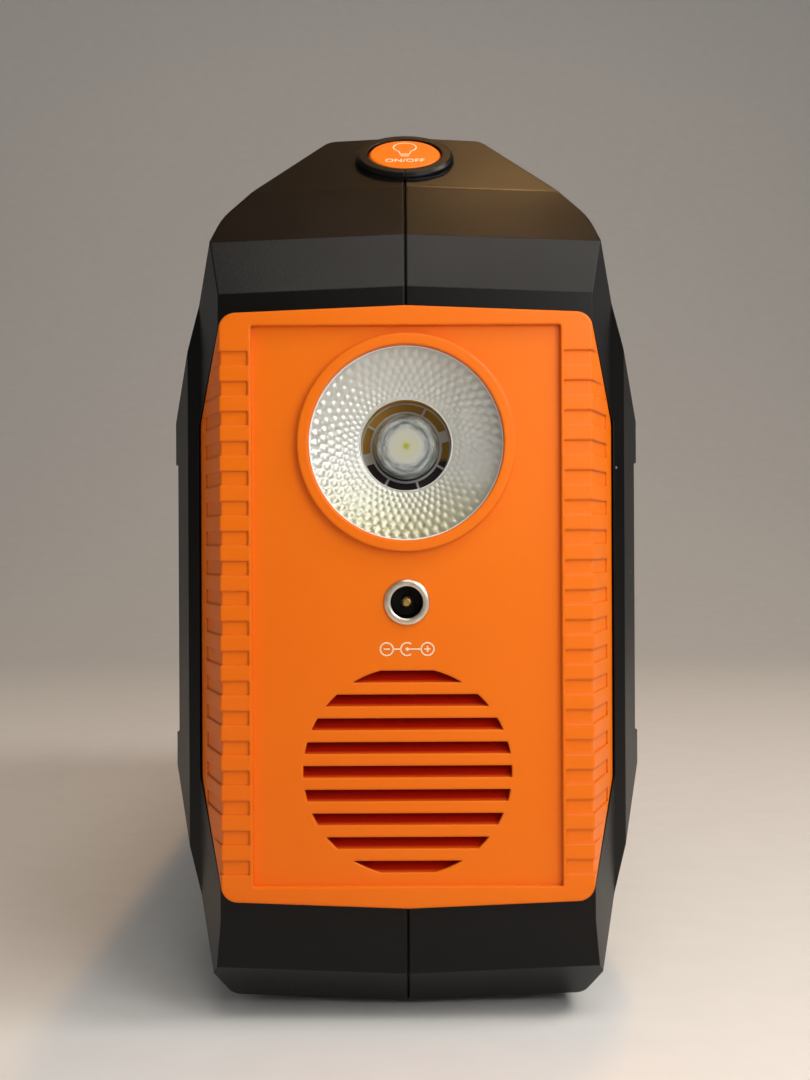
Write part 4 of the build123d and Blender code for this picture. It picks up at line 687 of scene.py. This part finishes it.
# ---------------------------------------------------------------- printing
# Cream ink pad printed on the plastic, a few hundredths of a millimetre thick:
# a polarity sign at the charging socket, a bulb and ON/OFF on the light button.
ink_thick, ink_spread, ink_mottle = 0.06 * MM, 0.02 * MM, 0.625 * MM
cream_ink, tree = new_material("cream_pad_print_ink")
where = add(tree, "ShaderNodeTexCoord").outputs["Object"]
mottle = add(tree, "ShaderNodeTexNoise", {"Vector": where, "Scale": 1 / ink_mottle, "Detail": 3.0})
hue = add(tree, "ShaderNodeMix", {"Factor": mottle.outputs["Fac"], 6: colour("#EBCBA6"),
                                  7: colour("#F8E0C4")}, data_type="RGBA")
bsdf = add(tree, "ShaderNodeBsdfPrincipled", {"Base Color": hue.outputs[2], "Roughness": 0.5})
add(tree, "ShaderNodeOutputMaterial", {"Surface": bsdf.outputs[0]})


def arc(centre, radius, start, end, steps=24):
    """Points along an arc, angles in degrees."""
    angles = [radians(start + (end - start) * number / steps) for number in range(steps + 1)]
    return [(centre[0] + radius * cos(a), centre[1] + radius * sin(a)) for a in angles]


def printed_strokes(name, strokes, line_width, place, body):
    """Ink lines drawn flat on XY, in mm, then put in place."""
    curve = bpy.data.curves.new(name, "CURVE")
    curve.dimensions = "3D"
    curve.bevel_depth = line_width * MM / 2
    curve.bevel_resolution = 2
    curve.use_fill_caps = True
    for points in strokes:
        spline = curve.splines.new("POLY")
        spline.points.add(len(points) - 1)
        for point, (x, y) in zip(spline.points, points):
            point.co = (x * MM, y * MM, 0, 1)
    maker = bpy.data.objects.new(name + "_line", curve)
    mesh = bpy.data.meshes.new_from_object(maker)
    bpy.data.objects.remove(maker)
    flatten = Matrix.Diagonal((1, 1, ink_thick / (line_width * MM), 1))
    mesh.transform(place @ flatten)
    return printed_piece(name, mesh, body)


def printed_words(name, words, size, place, body):
    """Plain capitals in ink, centred on XY, then put in place."""
    text = bpy.data.curves.new(name, "FONT")
    text.body = words
    text.size = size * MM
    text.align_x, text.align_y = "CENTER", "CENTER"
    text.extrude = ink_thick / 2
    text.offset = ink_spread
    maker = bpy.data.objects.new(name + "_letters", text)
    mesh = bpy.data.meshes.new_from_object(maker)
    bpy.data.objects.remove(maker)
    mesh.transform(place)
    return printed_piece(name, mesh, body)


def printed_piece(name, mesh, body):
    """Object for a finished print, riding on a body."""
    mesh.materials.clear()
    mesh.materials.append(cream_ink)
    piece = bpy.data.objects.new(name, mesh)
    bpy.context.scene.collection.objects.link(piece)
    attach(piece, body)
    return piece


def facing(origin, outwards, up):
    """Matrix whose Z looks outwards and whose Y is up, at an origin."""
    z = Vector(outwards).normalized()
    x = Vector(up).cross(z).normalized()
    y = z.cross(x)
    turn = Matrix((x, y, z)).transposed().to_4x4()
    return Matrix.Translation(origin) @ turn


sign_z = 75.1 * MM
sign_place = facing((0, panel_y - ink_thick / 4, sign_z), (0, -1, 0), (0, 0, 1))
sign_ring, sign_reach, sign_bar, sign_dot = 1.25, 4.0, 0.6, 0.22     # mm on the print
sign_strokes = [
    arc((-sign_reach, 0), sign_ring, 0, 360),
    [(-sign_reach - sign_bar, 0), (-sign_reach + sign_bar, 0)],
    [(-sign_reach + sign_ring, 0), (-sign_ring, 0)],
    arc((0, 0), sign_ring, 50, 310),
    arc((0, 0), sign_dot, 0, 360, 10),
    [(0, 0), (sign_reach - sign_ring, 0)],
    arc((sign_reach, 0), sign_ring, 0, 360),
    [(sign_reach - sign_bar, 0), (sign_reach + sign_bar, 0)],
    [(sign_reach, -sign_bar), (sign_reach, sign_bar)],
]
printed_strokes("polarity_sign", sign_strokes, 0.3, sign_place, "pack")


# ---------------------------------------------------------------- buttons
# Orange ABS caps: the light button on the slope over the lamp end, two more on the flank.
# Their signs are printed in the same cream ink: a bulb, a power sign and a lightning bolt.
press = Vector(next(j["axis"] for j in frame["joints"] if j["name"] == "light_press"))
outwards = -press.normalized()
corners = [v.co.copy() for v in frame["nodes"]["light_button"].data.vertices]
face_reach = max(corner.dot(outwards) for corner in corners)
face_slack = 0.05 * MM
top_ring = [corner for corner in corners if corner.dot(outwards) > face_reach - face_slack]
button_face = sum(top_ring, Vector()) / len(top_ring)
uphill = (Vector((0, 0, 1)) - outwards * outwards.z).normalized()
light_place = facing(button_face + outwards * ink_thick / 4, outwards, uphill)
bulb_centre, bulb_radius, words_size, words_below = (0, 3.7), 2.5, 2.35, 3.6     # mm on the print
bulb_strokes = [
    [(-1.1, 0.5)] + arc(bulb_centre, bulb_radius, 238, -58, 30) + [(1.1, 0.5)],
    [(-1.2, 0.1), (1.2, 0.1)],
    [(-1.1, -0.5), (1.1, -0.5)],
    [(-0.9, -1.1), (0.9, -1.1)],
]
printed_strokes("bulb_sign", bulb_strokes, 0.32, light_place, "light_key")
words_place = light_place @ Matrix.Translation((0, -words_below * MM, 0))
printed_words("on_off_words", "ON/OFF", words_size, words_place, "light_key")
for node in ("light_button", "power_button", "boost_button"):
    moulded_copy(node, node + "_cap", orange_abs)


def flank_place(node):
    """On the face of a flank button, with Z up."""
    low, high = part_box(node)
    return facing((high.x + ink_thick / 4, (low.y + high.y) / 2, (low.z + high.z) / 2), (1, 0, 0), (0, 0, 1))


power_strokes = [arc((0, 0), 2.1, 125, 415), [(0, 0.6), (0, 2.6)]]
printed_strokes("power_sign", power_strokes, 0.5, flank_place("power_button"), "power_key")
bolt_strokes = [[(0.9, 3.2), (-1.7, -0.4), (0.2, -0.1), (-0.9, -3.2), (1.7, 0.5), (-0.2, 0.2), (0.9, 3.2)]]
printed_strokes("boost_sign", bolt_strokes, 0.4, flank_place("boost_button"), "boost_key")


# ---------------------------------------------------------------- control panel window
# Smoked acrylic, polished, over a dark display that is off: nearly black, with clear reflections
# that a few smears break up.
window_smear, window_corner = 18.182 * MM, 0.3 * MM
smoked, tree = new_material("smoked_acrylic_polished")
where = add(tree, "ShaderNodeTexCoord").outputs["Object"]
smear = add(tree, "ShaderNodeTexNoise", {"Vector": where, "Scale": 1 / window_smear, "Detail": 5.0,
                                         "Roughness": 0.7})
rough = add(tree, "ShaderNodeMapRange", {"Value": smear.outputs["Fac"], "From Min": 0.35, "From Max": 0.75,
                                         "To Min": 0.04, "To Max": 0.14})
hue = add(tree, "ShaderNodeMix", {"Factor": smear.outputs["Fac"], 6: colour("#070809"), 7: colour("#0C0D0F")},
          data_type="RGBA")
normal = rounded_normal(tree, window_corner)
bsdf = add(tree, "ShaderNodeBsdfPrincipled", {"Base Color": hue.outputs[2], "Roughness": rough.outputs[0],
                                              "Normal": normal})
add(tree, "ShaderNodeOutputMaterial", {"Surface": bsdf.outputs[0]})
moulded_copy("display_window", "display_window_pane", smoked)


# ---------------------------------------------------------------- covers and feet
# Moulded rubber: matt, dark, faintly dusty, with soft edges.
dust_bloom, rubber_grain, rubber_corner = 11.111 * MM, 0.66667 * MM, 0.35 * MM
rubber, tree = new_material("black_rubber_moulded")
where = add(tree, "ShaderNodeTexCoord").outputs["Object"]
bloom = add(tree, "ShaderNodeTexNoise", {"Vector": where, "Scale": 1 / dust_bloom, "Detail": 6.0,
                                         "Roughness": 0.7})
hue = add(tree, "ShaderNodeMix", {"Factor": bloom.outputs["Fac"], 6: colour("#141414"), 7: colour("#2A2927")},
          data_type="RGBA")
grainy = add(tree, "ShaderNodeTexNoise", {"Vector": where, "Scale": 1 / rubber_grain, "Detail": 2.0})
normal = rounded_normal(tree, rubber_corner, grainy.outputs["Fac"], 0.25, 0.04 * MM)
bsdf = add(tree, "ShaderNodeBsdfPrincipled", {"Base Color": hue.outputs[2], "Roughness": 0.72,
                                              "Normal": normal})
add(tree, "ShaderNodeOutputMaterial", {"Surface": bsdf.outputs[0]})
for node, slot in (("socket_cover", "cover_rubber"), ("usb_cover", "cover_rubber"),
                   ("rubber_feet", "foot_rubber"), ("battery_pads", "foam_pad")):
    moulded_copy(node, node + "_rubber", rubber)


# ---------------------------------------------------------------- screws and metal inside
# Zinc-plated steel screws and pins are a cloudy blue grey, and extruded aluminium sinks duller
# and paler. The contacts have the gold flash of the socket's pin.
zinc = metal("zinc_plated_steel", "#8B8D8F", "#B9BBBC", 0.25, 0.42, 2.5 * MM)
sink_metal = metal("extruded_aluminium", "#9FA2A4", "#C6C9CB", 0.35, 0.5, 3.8462 * MM)
finishes = (
    (zinc, "steel_screw", ("shell_screws", "lamp_screws", "light_board_screws", "control_screws",
                           "board_screws", "usb_screws", "socket_cover_pin", "usb_cover_pin")),
    (sink_metal, "aluminium_sink", ("lamp_heat_sink", "board_heat_sink", "board_capacitors")),
    (gold_plate, "brass_contact", ("jump_contacts", "battery_terminals")),
)
for material, slot, nodes in finishes:
    for node in nodes:
        moulded_copy(node, node + "_metal", material)


# ---------------------------------------------------------------- boards, leads and battery
# Green glass-epoxy boards, silicone-skinned leads and a dark ABS battery case.
dull_corner = 0.2 * MM


def dull(name, dark, light, roughness, mottle_size):
    """Plain non-metal skin with a mottle and a fine grain."""
    material, tree = new_material(name)
    where = add(tree, "ShaderNodeTexCoord").outputs["Object"]
    mottle = add(tree, "ShaderNodeTexNoise", {"Vector": where, "Scale": 1 / mottle_size, "Detail": 4.0})
    hue = add(tree, "ShaderNodeMix", {"Factor": mottle.outputs["Fac"], 6: colour(dark), 7: colour(light)},
              data_type="RGBA")
    normal = rounded_normal(tree, dull_corner, mottle.outputs["Fac"], 0.1, 0.03 * MM)
    bsdf = add(tree, "ShaderNodeBsdfPrincipled", {"Base Color": hue.outputs[2], "Roughness": roughness,
                                                  "Normal": normal})
    add(tree, "ShaderNodeOutputMaterial", {"Surface": bsdf.outputs[0]})
    return material


# Glossy green mask shows the weave of the cloth under it, silicone is even and waxy, and the
# battery's case is a plain dark grey.
board_green = dull("green_solder_mask", "#0E4A22", "#14602E", 0.35, 1.1111 * MM)
red_skin = dull("red_silicone_lead", "#8E0E0A", "#B01812", 0.5, 1.4286 * MM)
black_skin = dull("black_silicone_lead", "#101010", "#1A1A1A", 0.5, 1.4286 * MM)
case_abs = dull("grey_abs_battery_case", "#2B2C2E", "#36383A", 0.5, 1.25 * MM)
for material, slot, nodes in (
    (board_green, "circuit_board", ("main_board", "control_board", "light_switch_board", "usb_board")),
    (red_skin, "red_wire", ("positive_lead", "lamp_lead")),
    (black_skin, "black_wire", ("negative_lead", "charge_lead")),
    (case_abs, "battery_block", ("battery_case",)),
):
    for node in nodes:
        moulded_copy(node, node + "_skin", material)
